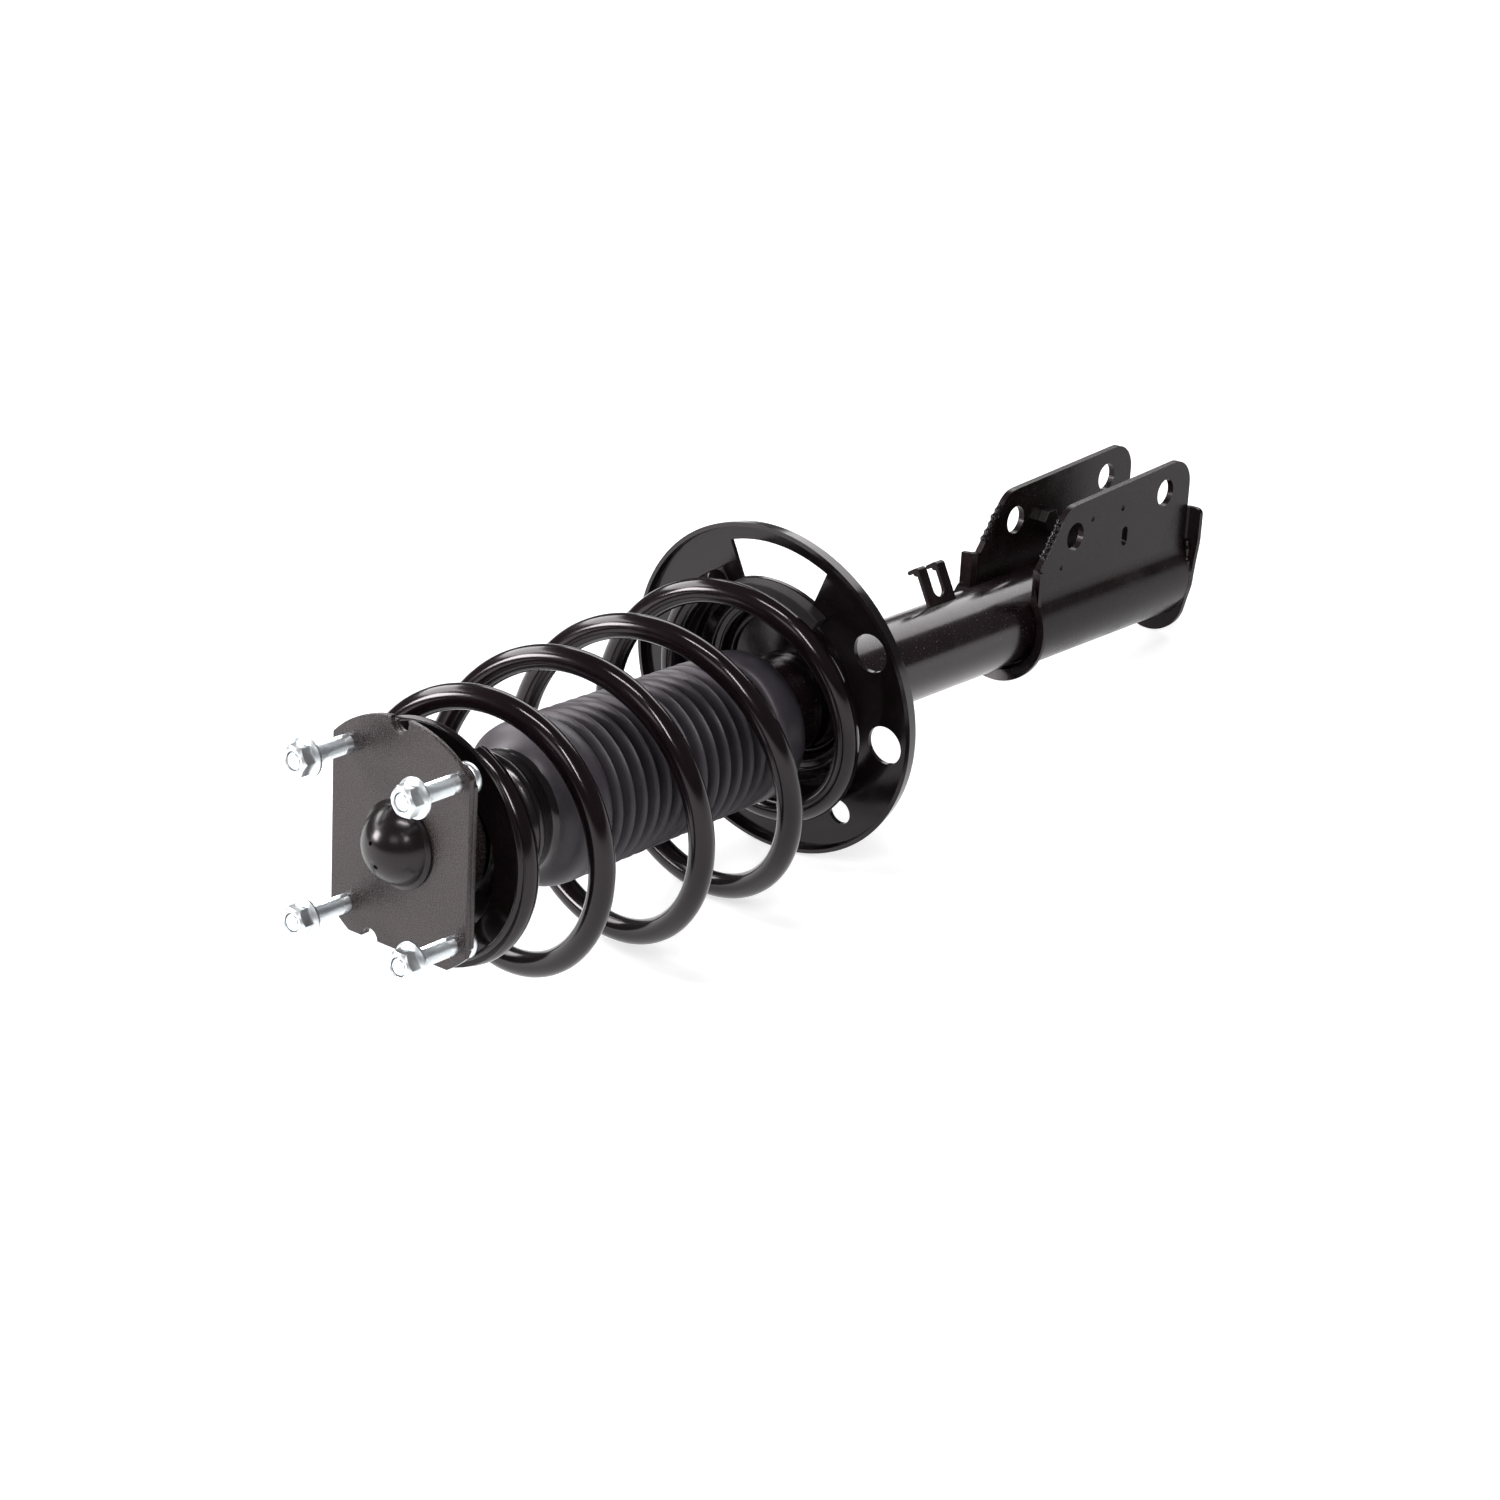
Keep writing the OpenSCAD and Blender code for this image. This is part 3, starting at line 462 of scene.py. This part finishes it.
stud_core = turned("stud_core", [
    (STUD_TIP - 0.7, AT_AXIS), (STUD_TIP - 0.7, 4.0), (STUD_TIP, 4.6), (STUD_TIP + 1.0, ROOT_R),
    (THREAD_END, ROOT_R), (THREAD_END + 1.2, STUD_R), (HEAD_X, STUD_R),
    (HEAD_X, HEAD_R - 0.4), (HEAD_X + 0.6, HEAD_R), (HEAD_X + 3.2, HEAD_R), (HEAD_X + 4.4, 8.2),
    (HEAD_X + HEAD_H, 6.2), (HEAD_X + HEAD_H, AT_AXIS),
], 40, closed=False)
stud_thread = thread("stud_thread", STUD_TIP + 0.7, THREAD_END + 0.6, STUD_R - 0.78, STUD_R)
stud = smooth(join([stud_core, stud_thread], "stud"), 40)
studs = copies_at_studs(stud, "stud", "threaded_studs")
stand_in(studs, "mount_studs")
print("studs:", len(STUD_YZ), "faces:", len(studs.data.polygons))

# %% [markdown]
# ## Flange nuts
# A nut is cut from hexagon bar and turned: the lathe leaves a cone on the outer
# corners, so each flat ends in an arc. The same happens here: a six-sided bar
# meets a turned blank, and what both share is the nut. The skirt is turned too.

# %% Flange nuts
NUT_X = -37
NUT_H = 10
NUT_FOOT = NUT_X + NUT_H
NUT_AF = 15
BLANK_R = 9.0
BORE_R = 5.06
SKIRT_R = 10.6
SKIRT_H = 3.4

deselect()
bpy.ops.mesh.primitive_cylinder_add(vertices=6, radius=NUT_AF / 2 / math.cos(math.pi / 6) * MM,
                                    depth=NUT_H * MM, location=mm(NUT_X + NUT_H / 2, 0, 0),
                                    rotation=(0, math.pi / 2, 0))
bar = bpy.context.object
edit(bar)
bpy.ops.mesh.inset(thickness=0.3 * MM)
done(bar)
blank = turned("blank", [
    (NUT_X, AT_AXIS), (NUT_X, 6.6), (NUT_X + 0.5, 7.1), (NUT_X + 1.6, 8.7), (NUT_FOOT, BLANK_R),
    (NUT_FOOT, AT_AXIS),
], 64)
nut = cut(bar, blank, "INTERSECT")
skirt = turned("skirt", [
    (NUT_FOOT - SKIRT_H, 6.6), (NUT_FOOT - 2.9, 8.2), (NUT_FOOT - 2.0, 9.7),
    (NUT_FOOT - 1.4, SKIRT_R), (NUT_FOOT - 0.3, SKIRT_R), (NUT_FOOT, SKIRT_R - 0.3),
    (NUT_FOOT, 5.2), (NUT_FOOT - SKIRT_H, 5.2),
], 64)
bore = turned("bore", [
    (NUT_X - 1, AT_AXIS), (NUT_X - 1, 5.5), (NUT_X, 5.4), (NUT_X + 0.4, BORE_R),
    (NUT_FOOT + 1, BORE_R), (NUT_FOOT + 1, AT_AXIS),
], 48)
nut = cut(nut, bore)
bevel_edges(nut, 0.25, sharp=25)
nut = smooth(join([nut, skirt], "nut"), 30)
nuts = copies_at_studs(nut, "nut", "flange_nut_set")
stand_in(nuts, "flange_nuts")
print("nuts:", len(STUD_YZ), "faces:", len(nuts.data.polygons))

# %% [markdown]
# ## Rubber dome
# A soft cap covers the rod nut and keeps water out. It is a shell with a flat rim
# and two pinholes that let air pass as the rubber is pressed in. Its profile is
# turned, and two thin pins cut the holes.

# %% Rubber dome over the rod nut
DOME_R = 21.5
DOME_H = 18.0
DOME_WALL = 2
RIM_R = 23.2
ARC_END = -2.6
VENT_R = 1.2
VENTS = [(2.6, 4.6), (-0.8, -7.2)]
ball_r = (DOME_R ** 2 + DOME_H ** 2) / (2 * DOME_H)
ball_x = ball_r - DOME_H


def cap_arc(radius, first, last, count):
    """Points of an arc about the dome's centre, angles from the tip in degrees."""
    points = []
    for i in range(count + 1):
        a = math.radians(first + (last - first) * i / count)
        points.append((ball_x - radius * math.cos(a), max(AT_AXIS, radius * math.sin(a))))
    return points


foot = math.degrees(math.acos((ball_x - ARC_END) / ball_r))
outer = cap_arc(ball_r, 0, foot, 20)
rim = [
    (-2.1, DOME_R + 0.4), (-1.7, DOME_R + 1.0), (-1.6, RIM_R - 0.8), (-1.2, RIM_R - 0.15),
    (-0.6, RIM_R), (-0.15, RIM_R - 0.2), (0.0, RIM_R - 0.7), (0.0, DOME_R - DOME_WALL),
    (2.8, DOME_R - DOME_WALL), (2.8, DOME_R - 2 * DOME_WALL),
]
inner = cap_arc(ball_r - DOME_WALL, foot - 2, 0, 14)
dome = turned("vent_dome", outer + rim + inner, 96, closed=False)
for y, z in VENTS:
    deselect()
    bpy.ops.mesh.primitive_cylinder_add(vertices=20, radius=VENT_R * MM, depth=14 * MM,
                                        location=mm(-14, y, z), rotation=(0, math.pi / 2, 0))
    cut(dome, done(bpy.context.object))
smooth(dome, 40)
stand_in(dome, "dome_cap")
print("dome faces:", len(dome.data.polygons))

# %% [markdown]
# ## Coil spring
# The wire runs once round for each turn, starts flat on the upper seat, opens out
# to the wide middle coils, and closes again on the lower seat. The curve below is
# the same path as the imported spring's: radius, lean and rise change smoothly with
# the number of turns. A curve with a round bevel gives wire that is round all the
# way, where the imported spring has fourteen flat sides.

# %% Path of the spring's wire
WIRE_R = 6.85
TOP_R = 56
FIRST_R = 73
FREE_R = 79.5
BOTTOM_R = 66.5
TOP_X = 31.83
DROP = 8
BOW = 12.5
FIRST_LEAN = 6
SEAT_X = 293.0
SEAT_Z = 11.0
SEAT_LEAN = 6.5
PAD_T = 1.5
SOFT = 0.3
STAND = PAD_T + SOFT + WIRE_R
END_X = SEAT_X - STAND * math.cos(math.radians(SEAT_LEAN))
END_Z = SEAT_Z - STAND * math.sin(math.radians(SEAT_LEAN))
START = 0.06
TURNS = 4.92
LEAVE = 0.2
LAND = 4.85
EASE = 1.05


def part_way(value, low, high):
    """Share of the way from low to high, held between 0 and 1."""
    return min(1.0, max(0.0, (value - low) / (high - low)))


def step(low, high, value):
    """Smooth step from 0 at low to 1 at high."""
    u = part_way(value, low, high)
    return u * u * (3 - 2 * u)


def rise(t):
    """Share of the way from the upper seat to the lower seat."""
    span = LAND - LEAVE - EASE
    if t <= LEAVE:
        return 0.0
    if t < LEAVE + EASE:
        return (t - LEAVE) ** 2 / (2 * EASE) / span
    if t < LAND - EASE:
        return (t - LEAVE - EASE / 2) / span
    if t < LAND:
        return 1 - (LAND - t) ** 2 / (2 * EASE) / span
    return 1.0


def coil_radius(t):
    """Radius of the coil after t turns: it opens twice and then closes."""
    opened = TOP_R + (FIRST_R - TOP_R) * step(0.3, 1.1, t) + (FREE_R - FIRST_R) * step(0.9, 2.5, t)
    return opened - (FREE_R - BOTTOM_R) * step(3.7, 4.3, t)


def coil_lean(k):
    """Lean of the coil's plane in radians, at share k of the way."""
    first = FIRST_LEAN * step(0, 0.15, k) * (1 - step(0.15, 0.65, k))
    return math.radians(first - SEAT_LEAN * step(0, 0.9, k))


def wire_point(t):
    """Centre of the wire after t turns, in millimetres."""
    a = 2 * math.pi * t
    radius = coil_radius(t)
    bow = BOW * step(0, 3, t) * (1 - step(3.45, 4.6, t))
    k = rise(t)
    lean = coil_lean(k)
    x = TOP_X * (1 - k) + END_X * k
    z = -DROP * (1 - k) + END_Z * k - bow
    up = radius * math.cos(a)
    return (x + up * math.sin(lean), -radius * math.sin(a), z + up * math.cos(lean))


# %% [markdown]
# Blender draws a round bar from a curve: a polyline through the points, a bevel
# depth for the radius, and a conversion to a mesh. The points' own radii can
# swell and thin the bar, which the weld beads use later.

# %% Helper for round bars along a path
def bar_along(name, points, radius, sides, swell=None):
    """Round bar along points in millimetres; swell scales the radius point by point."""
    deselect()
    bpy.ops.curve.primitive_bezier_curve_add()
    thing = bpy.context.object
    thing.name = name
    curve = thing.data
    curve.splines.clear()
    line = curve.splines.new("POLY")
    line.points.add(len(points) - 1)
    for i, point in enumerate(points):
        line.points[i].co = (*mm(*point), 1)
        line.points[i].radius = swell[i] if swell else 1.0
    curve.dimensions = "3D"
    curve.twist_mode = "MINIMUM"
    curve.bevel_depth = radius * MM
    curve.bevel_resolution = (sides - 4) // 4
    curve.use_fill_caps = True
    pick(thing)
    bpy.ops.object.convert(target="MESH")
    return thing


# %% [markdown]
# The wire has its points close together, so that long highlights run smoothly
# along it. Its two cut ends are rounded.

# %% Spring wire
RINGS = 940
WIRE_SIDES = 44
END_ROUND = 0.9
wire_path = [wire_point(START + (TURNS - START) * i / (RINGS - 1)) for i in range(RINGS)]
spring = bar_along("spring_wire", wire_path, WIRE_R, WIRE_SIDES)
edit(spring)
bpy.ops.mesh.remove_doubles(threshold=0.005 * MM)
bpy.ops.mesh.normals_make_consistent(inside=False)
done(spring)
bevel_edges(spring, END_ROUND, 3, 60)
smooth(spring, 50)
print("spring faces:", len(spring.data.polygons))

# %% [markdown]
# A share of the motion is then worked out from the nearest place on the wire's
# path, so that all points round the wire get the same share and the wire would stay
# round.


def shares_along(thing, path, low, high):
    """Linear share of the motion, one value for each section across the path."""
    tree = KDTree(len(path))
    for i, point in enumerate(path):
        tree.insert(mm(*point), i)
    tree.balance()
    shares = []
    for vertex in thing.data.vertices:
        nearest = tree.find(vertex.co)[1]
        shares.append(part_way(path[nearest][0], low, high))
    return shares


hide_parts("coil_spring")
coat(spring, "spring_paint")
low_x = wire_path[0][0]
high_x = wire_path[-1][0]
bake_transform(spring)
shares = shares_along(spring, wire_path, low_x, high_x)
print("spring shares from", round(min(shares), 2), "to", round(max(shares), 2))

# %% [markdown]
# ## Dust boot
# The boot is blown rubber. Its neck has two beads that grip the seat's collar,
# then comes a waist, a smooth drum, fourteen round folds that get a little
# slimmer toward the damper, and a plain cuff. A fold has a narrow crest, and the
# valleys between are wide. The profile is turned with its wall.

# %% Dust boot
BOOT_Z = -4.5
WALL = 1.8
NECK_X = 36.48
NECK_R = 34.0
FOLDS_FROM = 112.5
FOLDS_TO = 248.0
FOLDS = 14
POINTS_PER_FOLD = 12
FOLD_DEPTH = 7.5
CREST_R = 44.5
CREST_TAPER = 1.6
CREST_SHARPNESS = 2.4
BOOT_END = 272.0


def fold_radius(x):
    """Outer radius in the folded part."""
    u = (x - FOLDS_FROM) / (FOLDS_TO - FOLDS_FROM)
    crest = CREST_R - CREST_TAPER * u
    wave = abs(math.sin(math.pi * u * FOLDS))
    return crest - FOLD_DEPTH + FOLD_DEPTH * wave ** CREST_SHARPNESS


neck = [(NECK_X, 33.4), (NECK_X + 0.6, NECK_R), (47.2, NECK_R)]
neck_beads = [
    (48.8, 34.8), (50.2, 36.3), (52.0, 37.3), (54.2, 37.5), (56.2, 37.1), (57.8, 35.8),
    (59.2, 34.9), (60.6, 35.7), (62.2, 37.0), (64.2, 37.4), (66.2, 37.0), (67.8, 35.6),
]
waist = [(69.2, 34.4), (71.6, 33.4), (74.6, 32.6), (77.6, 32.2), (79.8, 32.3), (82.0, 33.1)]
drum = [
    (84.2, 34.7), (86.4, 37.0), (88.6, 39.6), (91.0, 42.0), (93.8, 43.5), (97.4, 44.2),
    (102.6, 44.5), (108.6, 44.4), (111.0, 43.0),
]
fold_steps = FOLDS * POINTS_PER_FOLD
fold_places = [FOLDS_FROM + (FOLDS_TO - FOLDS_FROM) * i / fold_steps for i in range(fold_steps + 1)]
folds = [(x, fold_radius(x)) for x in fold_places]
cuff = [
    (249.2, 41.0), (250.8, 42.2), (253.0, 42.8), (258.0, 42.9), (264.0, 42.6),
    (268.0, 41.8), (270.4, 40.6), (271.6, 39.2), (BOOT_END, 37.6),
]
outside = neck + neck_beads + waist + drum + folds + cuff
inside = [(x, r - WALL) for x, r in reversed(outside)]
boot = turned("bellows", outside + inside, 96, centre=(0, BOOT_Z))
smooth(boot, 50)
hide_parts("dust_boot")
coat(boot, "boot_rubber")
print("boot faces:", len(boot.data.polygons))

# %% [markdown]
# The rubber's colour has painted shade in the valleys between the folds, where
# shade falls, and full colour on the crests, so it follows the distance from the
# boot's axis. Ahead of the folds no shade is painted. The neck and the waist have
# the shiny rubber.

# %% Painted shade in the boot's valleys
GLOSSY_TO = 82.0
VALLEY_R = 37.5
FULL_COLOUR_R = 42.5
# Painted shade: the valleys keep this share of the rubber's colour.
VALLEY_SHADE = 0.14
DRUM_END = 110.5
DRUM_FADE = 2.0


def paint_valley_shade(tree):
    """Paint shade into a rubber's colour in the boot's valleys, where the folds shade it."""
    place = tree.nodes.new("ShaderNodeTexCoord")
    across = tree.nodes.new("ShaderNodeMapping")
    across.inputs["Location"].default_value = (0, 0, -BOOT_Z * MM)
    across.inputs["Scale"].default_value = (0, 1, 1)
    link(tree, place, "Object", across, "Vector")
    reach = tree.nodes.new("ShaderNodeVectorMath")
    reach.operation = "LENGTH"
    link(tree, across, "Vector", reach, 0)
    crests = ramp(tree, reach, "Value",
                  [(VALLEY_R * MM, grey(VALLEY_SHADE)), (FULL_COLOUR_R * MM, grey(1.0))])
    split = tree.nodes.new("ShaderNodeSeparateXYZ")
    link(tree, place, "Object", split, "Vector")
    smooth_part = ramp(tree, split, "X",
                       [(DRUM_END * MM, grey(1.0)), ((DRUM_END + DRUM_FADE) * MM, grey(0.0))])
    # Full colour on the crests and the drum, painted shade in the valleys.
    painted_shade_factor = larger(tree, crests, "Color", smooth_part, "Color")
    shade = colour_mix(tree, "MULTIPLY")
    shade.inputs[MIX_SHARE].default_value = 1.0
    shader = tree.nodes["Principled BSDF"]
    tree.links.new(shader.inputs["Base Color"].links[0].from_socket, shade.inputs[MIX_FIRST])
    link(tree, painted_shade_factor, 0, shade, MIX_SECOND)
    link(tree, shade, MIX_RESULT, shader, "Base Color")


boot.data.materials.append(finishes["neck_rubber"])
for face in boot.data.polygons:
    if face.center.x < GLOSSY_TO * MM:
        face.material_index = 1
# Painted shade, darkest in the valleys, goes into the boot rubber's colour.
paint_valley_shade(finishes["boot_rubber"].node_tree)
print("shiny faces:", sum(face.material_index for face in boot.data.polygons))

# %% [markdown]
# Each point of the boot gets a share of the spring's motion from its place along X:
# none at the neck, which belongs with the seat, all at the cuff, which belongs with
# the damper, and shares that grow evenly over the folds between them.

# %% Shares of the boot's motion
FOLLOWS_FROM = 90
FOLLOWS_TO = 252
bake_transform(boot)
shares = [part_way(point.co.x / MM, FOLLOWS_FROM, FOLLOWS_TO) for point in boot.data.vertices]
print("boot points that stay with the seat:", shares.count(0.0))

# %% [markdown]
# ## Pressed and machined pieces
# A drawn solid has knife-sharp edges, and no real pressing has. Sheet metal comes
# out of its die with a small round on each edge, and that round is what catches
# the light. A copy of the solid is merged, its flat faces are joined again, and a
# Bevel modifier rounds each edge that is sharper than the angle. The copy then
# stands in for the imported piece.

# %% Helpers for a rounded copy
def flat_shading(thing):
    """Let the large faces decide the shading, so that their flats stay flat."""
    even = thing.modifiers.new("even", "WEIGHTED_NORMAL")
    even.mode = "FACE_AREA"
    even.weight = 100
    even.keep_sharp = True
    apply_all(thing)


def rounded(node, width):
    """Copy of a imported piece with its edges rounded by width, in millimetres."""
    thing = bpy.data.objects.new(node + "_body", nodes[node].data.copy())
    bpy.context.scene.collection.objects.link(thing)
    edit(thing)
    bpy.ops.mesh.remove_doubles(threshold=0.02 * MM)
    bpy.ops.mesh.dissolve_limited(angle_limit=math.radians(1.5))
    bpy.ops.object.mode_set(mode="OBJECT")
    bevel_edges(thing, width)
    smooth(thing, 40)
    flat_shading(thing)
    stand_in(thing, node)
    return thing


# %% [markdown]
# The widths run from the thin tube's 0.3 mm to the thick bracket's 0.8 mm. The
# bracket, the hose clip, the damper's tube and the bracket's bolt then get their
# own shades of the finish that the record gives them.

# %% Round the pressings and fittings
EDGE_ROUND = {
    "mount_plate": 0.5, "mount_shell": 0.6, "upper_seat": 0.5,
    "lower_seat": 0.6, "knuckle_bracket": 0.8, "hose_bracket": 0.4,
    "reserve_tube": 0.3, "tube_cap": 0.3, "end_cap": 0.4,
    "upper_insulator": 0.5, "lower_insulator": 0.6, "bracket_bolt": 0.3,
}
pressed = {node: rounded(node, width) for node, width in EDGE_ROUND.items()}
paint_with(pressed["knuckle_bracket"], "bracket_paint")
paint_with(pressed["hose_bracket"], "bracket_paint")
paint_with(pressed["reserve_tube"], "tube_paint")
paint_with(pressed["bracket_bolt"], "bolt_coat")
print("rounded pieces:", len(pressed))

# %% [markdown]
# The bracket's ears carry small marks of their making. The press leaves three
# shallow dimples in the near ear, each of which is cut with a small sphere.

# %% Dimples in the near ear
EAR_OUT = 23.8
DIMPLES = [(559.2, 58.9, 1.1), (590.8, 59.3, 1.3), (529.6, 34.6, 1.1)]
bracket = pressed["knuckle_bracket"]
for x, z, r in DIMPLES:
    deselect()
    bpy.ops.mesh.primitive_uv_sphere_add(segments=20, ring_count=12, radius=2 * r * MM,
                                         location=mm(x, -EAR_OUT - 1.3 * r, z))
    cut(bracket, done(bpy.context.object))
smooth(bracket, 40)
flat_shading(bracket)
print("dimples:", len(DIMPLES))

# %% [markdown]
# Beads of weld and run paint lie along the sloping front edge of both ears, on
# the edge below it, and at the near ear's rear end. A bead is a bar along the
# edge whose radius swells and shrinks, as a bead laid by hand does.

# %% Weld beads on the bracket
EAR_MID = 21.8
SLOPE_TOP = (527.6, 63.2)
SLOPE_FOOT = (512.6, 43.6)
LOWER_TOP = (508.4, 37.2)
LOWER_FOOT = (507.6, 28.0)
POINTS_PER_LUMP = 8


def bead(first, last, radius, count, seed):
    """Row of small runs between two points, in millimetres."""
    points = []
    swell = []
    for i in range(count * POINTS_PER_LUMP + 1):
        k = i / (count * POINTS_PER_LUMP)
        points.append([a + (b - a) * k for a, b in zip(first, last)])
        lump = 0.5 + 0.5 * math.cos(2 * math.pi * count * k + seed)
        other = 0.5 + 0.5 * math.sin(2 * math.pi * count * 0.37 * k + 2 * seed)
        swell.append(0.55 + 0.35 * lump + 0.25 * other)
    return smooth(bar_along("run", points, radius, 12, swell), 60)


def at_ear(place, y):
    """Point of an ear's edge, from its (x, z) place and y."""
    return (place[0], y, place[1])


weld_beads = [
    bead(at_ear(SLOPE_TOP, -EAR_MID), at_ear(SLOPE_FOOT, -EAR_MID), 2.5, 6, 0.4),
    bead(at_ear(SLOPE_TOP, EAR_MID), at_ear(SLOPE_FOOT, EAR_MID), 2.4, 5, 1.9),
    bead(at_ear(LOWER_TOP, -EAR_MID), at_ear(LOWER_FOOT, -EAR_MID - 1), 2.2, 2, 2.6),
    bead(at_ear(LOWER_TOP, EAR_MID), at_ear(LOWER_FOOT, EAR_MID + 1), 2.2, 2, 0.9),
    bead((664.0, -EAR_OUT - 1.5, 24.0), (664.5, -EAR_OUT - 4.0, 2.0), 1.9, 3, 1.2),
]
add_on(join(weld_beads, "weld_runs"), body_of["knuckle_bracket"], "black_paint")
print("weld beads:", len(weld_beads))

# %% [markdown]
# The lower seat is pressed in steps, and round beads stiffen its pan. A bead is
# a ring with a round section, half sunk in the sheet, on the seat's own tilt.

# %% Pressed beads in the lower seat's pan
PAN_BEADS = [(6.4, 50.8, 1.6), (8.6, 46.2, 1.6), (12.4, 41.0, 1.8)]
rings = []
for depth, r, thick in PAN_BEADS:
    deselect()
    bpy.ops.mesh.primitive_torus_add(major_radius=r * MM, minor_radius=thick * MM,
                                     major_segments=96, minor_segments=16,
                                     location=mm(depth, 0, 0), rotation=(0, math.pi / 2, 0))
    rings.append(done(bpy.context.object))
pan = join(rings, "pan_beads")
pan.rotation_euler = (0, math.radians(-SEAT_LEAN), 0)
pan.location = mm(SEAT_X, 0, SEAT_Z)
smooth(done(pan), 60)
add_on(pan, body_of["lower_seat"], "black_paint")
print("pan beads:", len(PAN_BEADS))

# %% [markdown]
# ## Floor, light and camera
# The strut lies on the lower seat's rim and the bracket's rear flange, so the
# floor is a plane through those two, tilted a few degrees to the damper's axis.
# It is pale. Where the camera sees it, straight or in a reflection, a part of its
# white is its own light, which keeps its shadows soft and light.

# %% Floor under the strut
FLOOR_SIZE = 40
FLOOR_X = 200
FLOOR_Z = -98.0
FLOOR_TILT = 6.95
FLOOR_GREY = 0.60
FLOOR_GLOW = 0.65


def floor_material():
    """Pale matt surface that glows for the rays that the camera sees."""
    material = bpy.data.materials.new("pale_floor")
    material.use_nodes = True
    tree = material.node_tree
    tree.nodes.clear()
    path = tree.nodes.new("ShaderNodeLightPath")
    seen = larger(tree, path, "Is Camera Ray", path, "Is Glossy Ray")
    shown = larger(tree, seen, 0, path, "Is Transmission Ray")
    level = tree.nodes.new("ShaderNodeMath")
    level.operation = "MULTIPLY"
    level.inputs[1].default_value = FLOOR_GLOW
    link(tree, shown, 0, level, 0)
    glow = tree.nodes.new("ShaderNodeEmission")
    link(tree, level, 0, glow, "Strength")
    matt = tree.nodes.new("ShaderNodeBsdfDiffuse")
    matt.inputs["Color"].default_value = (*grey(FLOOR_GREY), 1)
    both = tree.nodes.new("ShaderNodeAddShader")
    link(tree, matt, 0, both, 0)
    link(tree, glow, 0, both, 1)
    end = tree.nodes.new("ShaderNodeOutputMaterial")
    link(tree, both, 0, end, "Surface")
    return material


deselect()
bpy.ops.mesh.primitive_plane_add(size=FLOOR_SIZE, location=mm(FLOOR_X, 0, FLOOR_Z))
floor = bpy.context.object
floor.name = "floor"
floor.rotation_euler = (0, math.radians(-FLOOR_TILT), 0)
floor.data.materials.append(floor_material())
print("floor tilted by", FLOOR_TILT, "degrees")

# %% [markdown]
# Glossy black shows almost nothing but reflections, so the room matters more
# than the lamps. The sky is dark and a little warm, as a studio's ceiling and
# walls are. It is darkest at the horizon and lightest 37 degrees up.

# %% Sky of the studio
world = bpy.data.worlds.new("studio")
bpy.context.scene.world = world
world.use_nodes = True
tree = world.node_tree
where = tree.nodes.new("ShaderNodeTexCoord")
split = tree.nodes.new("ShaderNodeSeparateXYZ")
link(tree, where, "Generated", split, "Vector")
sky = ramp(tree, split, "Z", [(0.0, (0.104, 0.098, 0.100)), (0.25, (0.145, 0.137, 0.140)),
                              (0.6, (0.166, 0.156, 0.160)), (1.0, (0.124, 0.117, 0.120))])
link(tree, sky, "Color", tree.nodes["Background"], "Color")
print("sky bands:", len(sky.color_ramp.elements))

# %% [markdown]
# Four soft boxes stand round the strut, and two narrow lamps draw the bright
# lines on the wire and the boot's neck. Places and sizes of lamps are in metres
# and their power is in watts.

# %% Soft boxes
def soft_box(name, place, target, size, power):
    """Rectangular lamp that faces a target; size is width and height."""
    data = bpy.data.lights.new(name, "AREA")
    data.shape = "RECTANGLE"
    data.size = size[0]
    data.size_y = size[1]
    data.energy = power
    lamp = bpy.data.objects.new(name, data)
    bpy.context.scene.collection.objects.link(lamp)
    lamp.location = place
    aim = Vector(target) - Vector(place)
    lamp.rotation_euler = aim.to_track_quat("-Z", "Y").to_euler()


soft_box("far_box", (-0.25, 1.85, 1.25), (0.15, 0, 0), (2.2, 0.8), 46)
soft_box("key_box", (-1.45, 1.30, 0.55), (0, 0, 0), (0.6, 0.6), 34)
soft_box("back_box", (2.15, 0.75, 1.35), (0.45, 0, 0), (2.2, 1.0), 24)
soft_box("front_box", (-1.75, -0.45, 0.90), (0.1, 0, 0), (0.7, 0.5), 3)
soft_box("near_lamp", (-0.95, -1.15, 1.25), (0.2, 0, 0), (0.12, 0.80), 15)
soft_box("top_lamp", (-0.45, -0.30, 1.85), (0.2, 0, 0), (0.80, 0.12), 15)

# %% [markdown]
# The camera stands 1.8 metres off, in front of the top mount, on the near side
# and above. Its lens is long, so the strut keeps its proportions, and its three
# directions are given as the axes of its view.

# %% Camera
SENSOR = 36
LENS = 88.81
VIEW_END = 60
EYE = mm(-1215.61, -1185.21, 699.54)
RIGHT = Vector((0.637, -0.7691, 0.052))
DOWN = Vector((-0.242, -0.2636, -0.9338))
AHEAD = Vector((0.7318, 0.5823, -0.3541))
camera_data = bpy.data.cameras.new("camera")
camera_data.sensor_width = SENSOR
camera_data.lens = LENS
camera_data.clip_end = VIEW_END
camera = bpy.data.objects.new("camera", camera_data)
bpy.context.scene.collection.objects.link(camera)
turn = Matrix((RIGHT, -DOWN, -AHEAD)).transposed().to_quaternion()
camera.matrix_world = Matrix.Translation(EYE) @ turn.to_matrix().to_4x4()
bpy.context.scene.camera = camera
bpy.context.scene.view_settings.view_transform = "Standard"
print("camera", round(EYE.length, 2), "metres from the mount plate")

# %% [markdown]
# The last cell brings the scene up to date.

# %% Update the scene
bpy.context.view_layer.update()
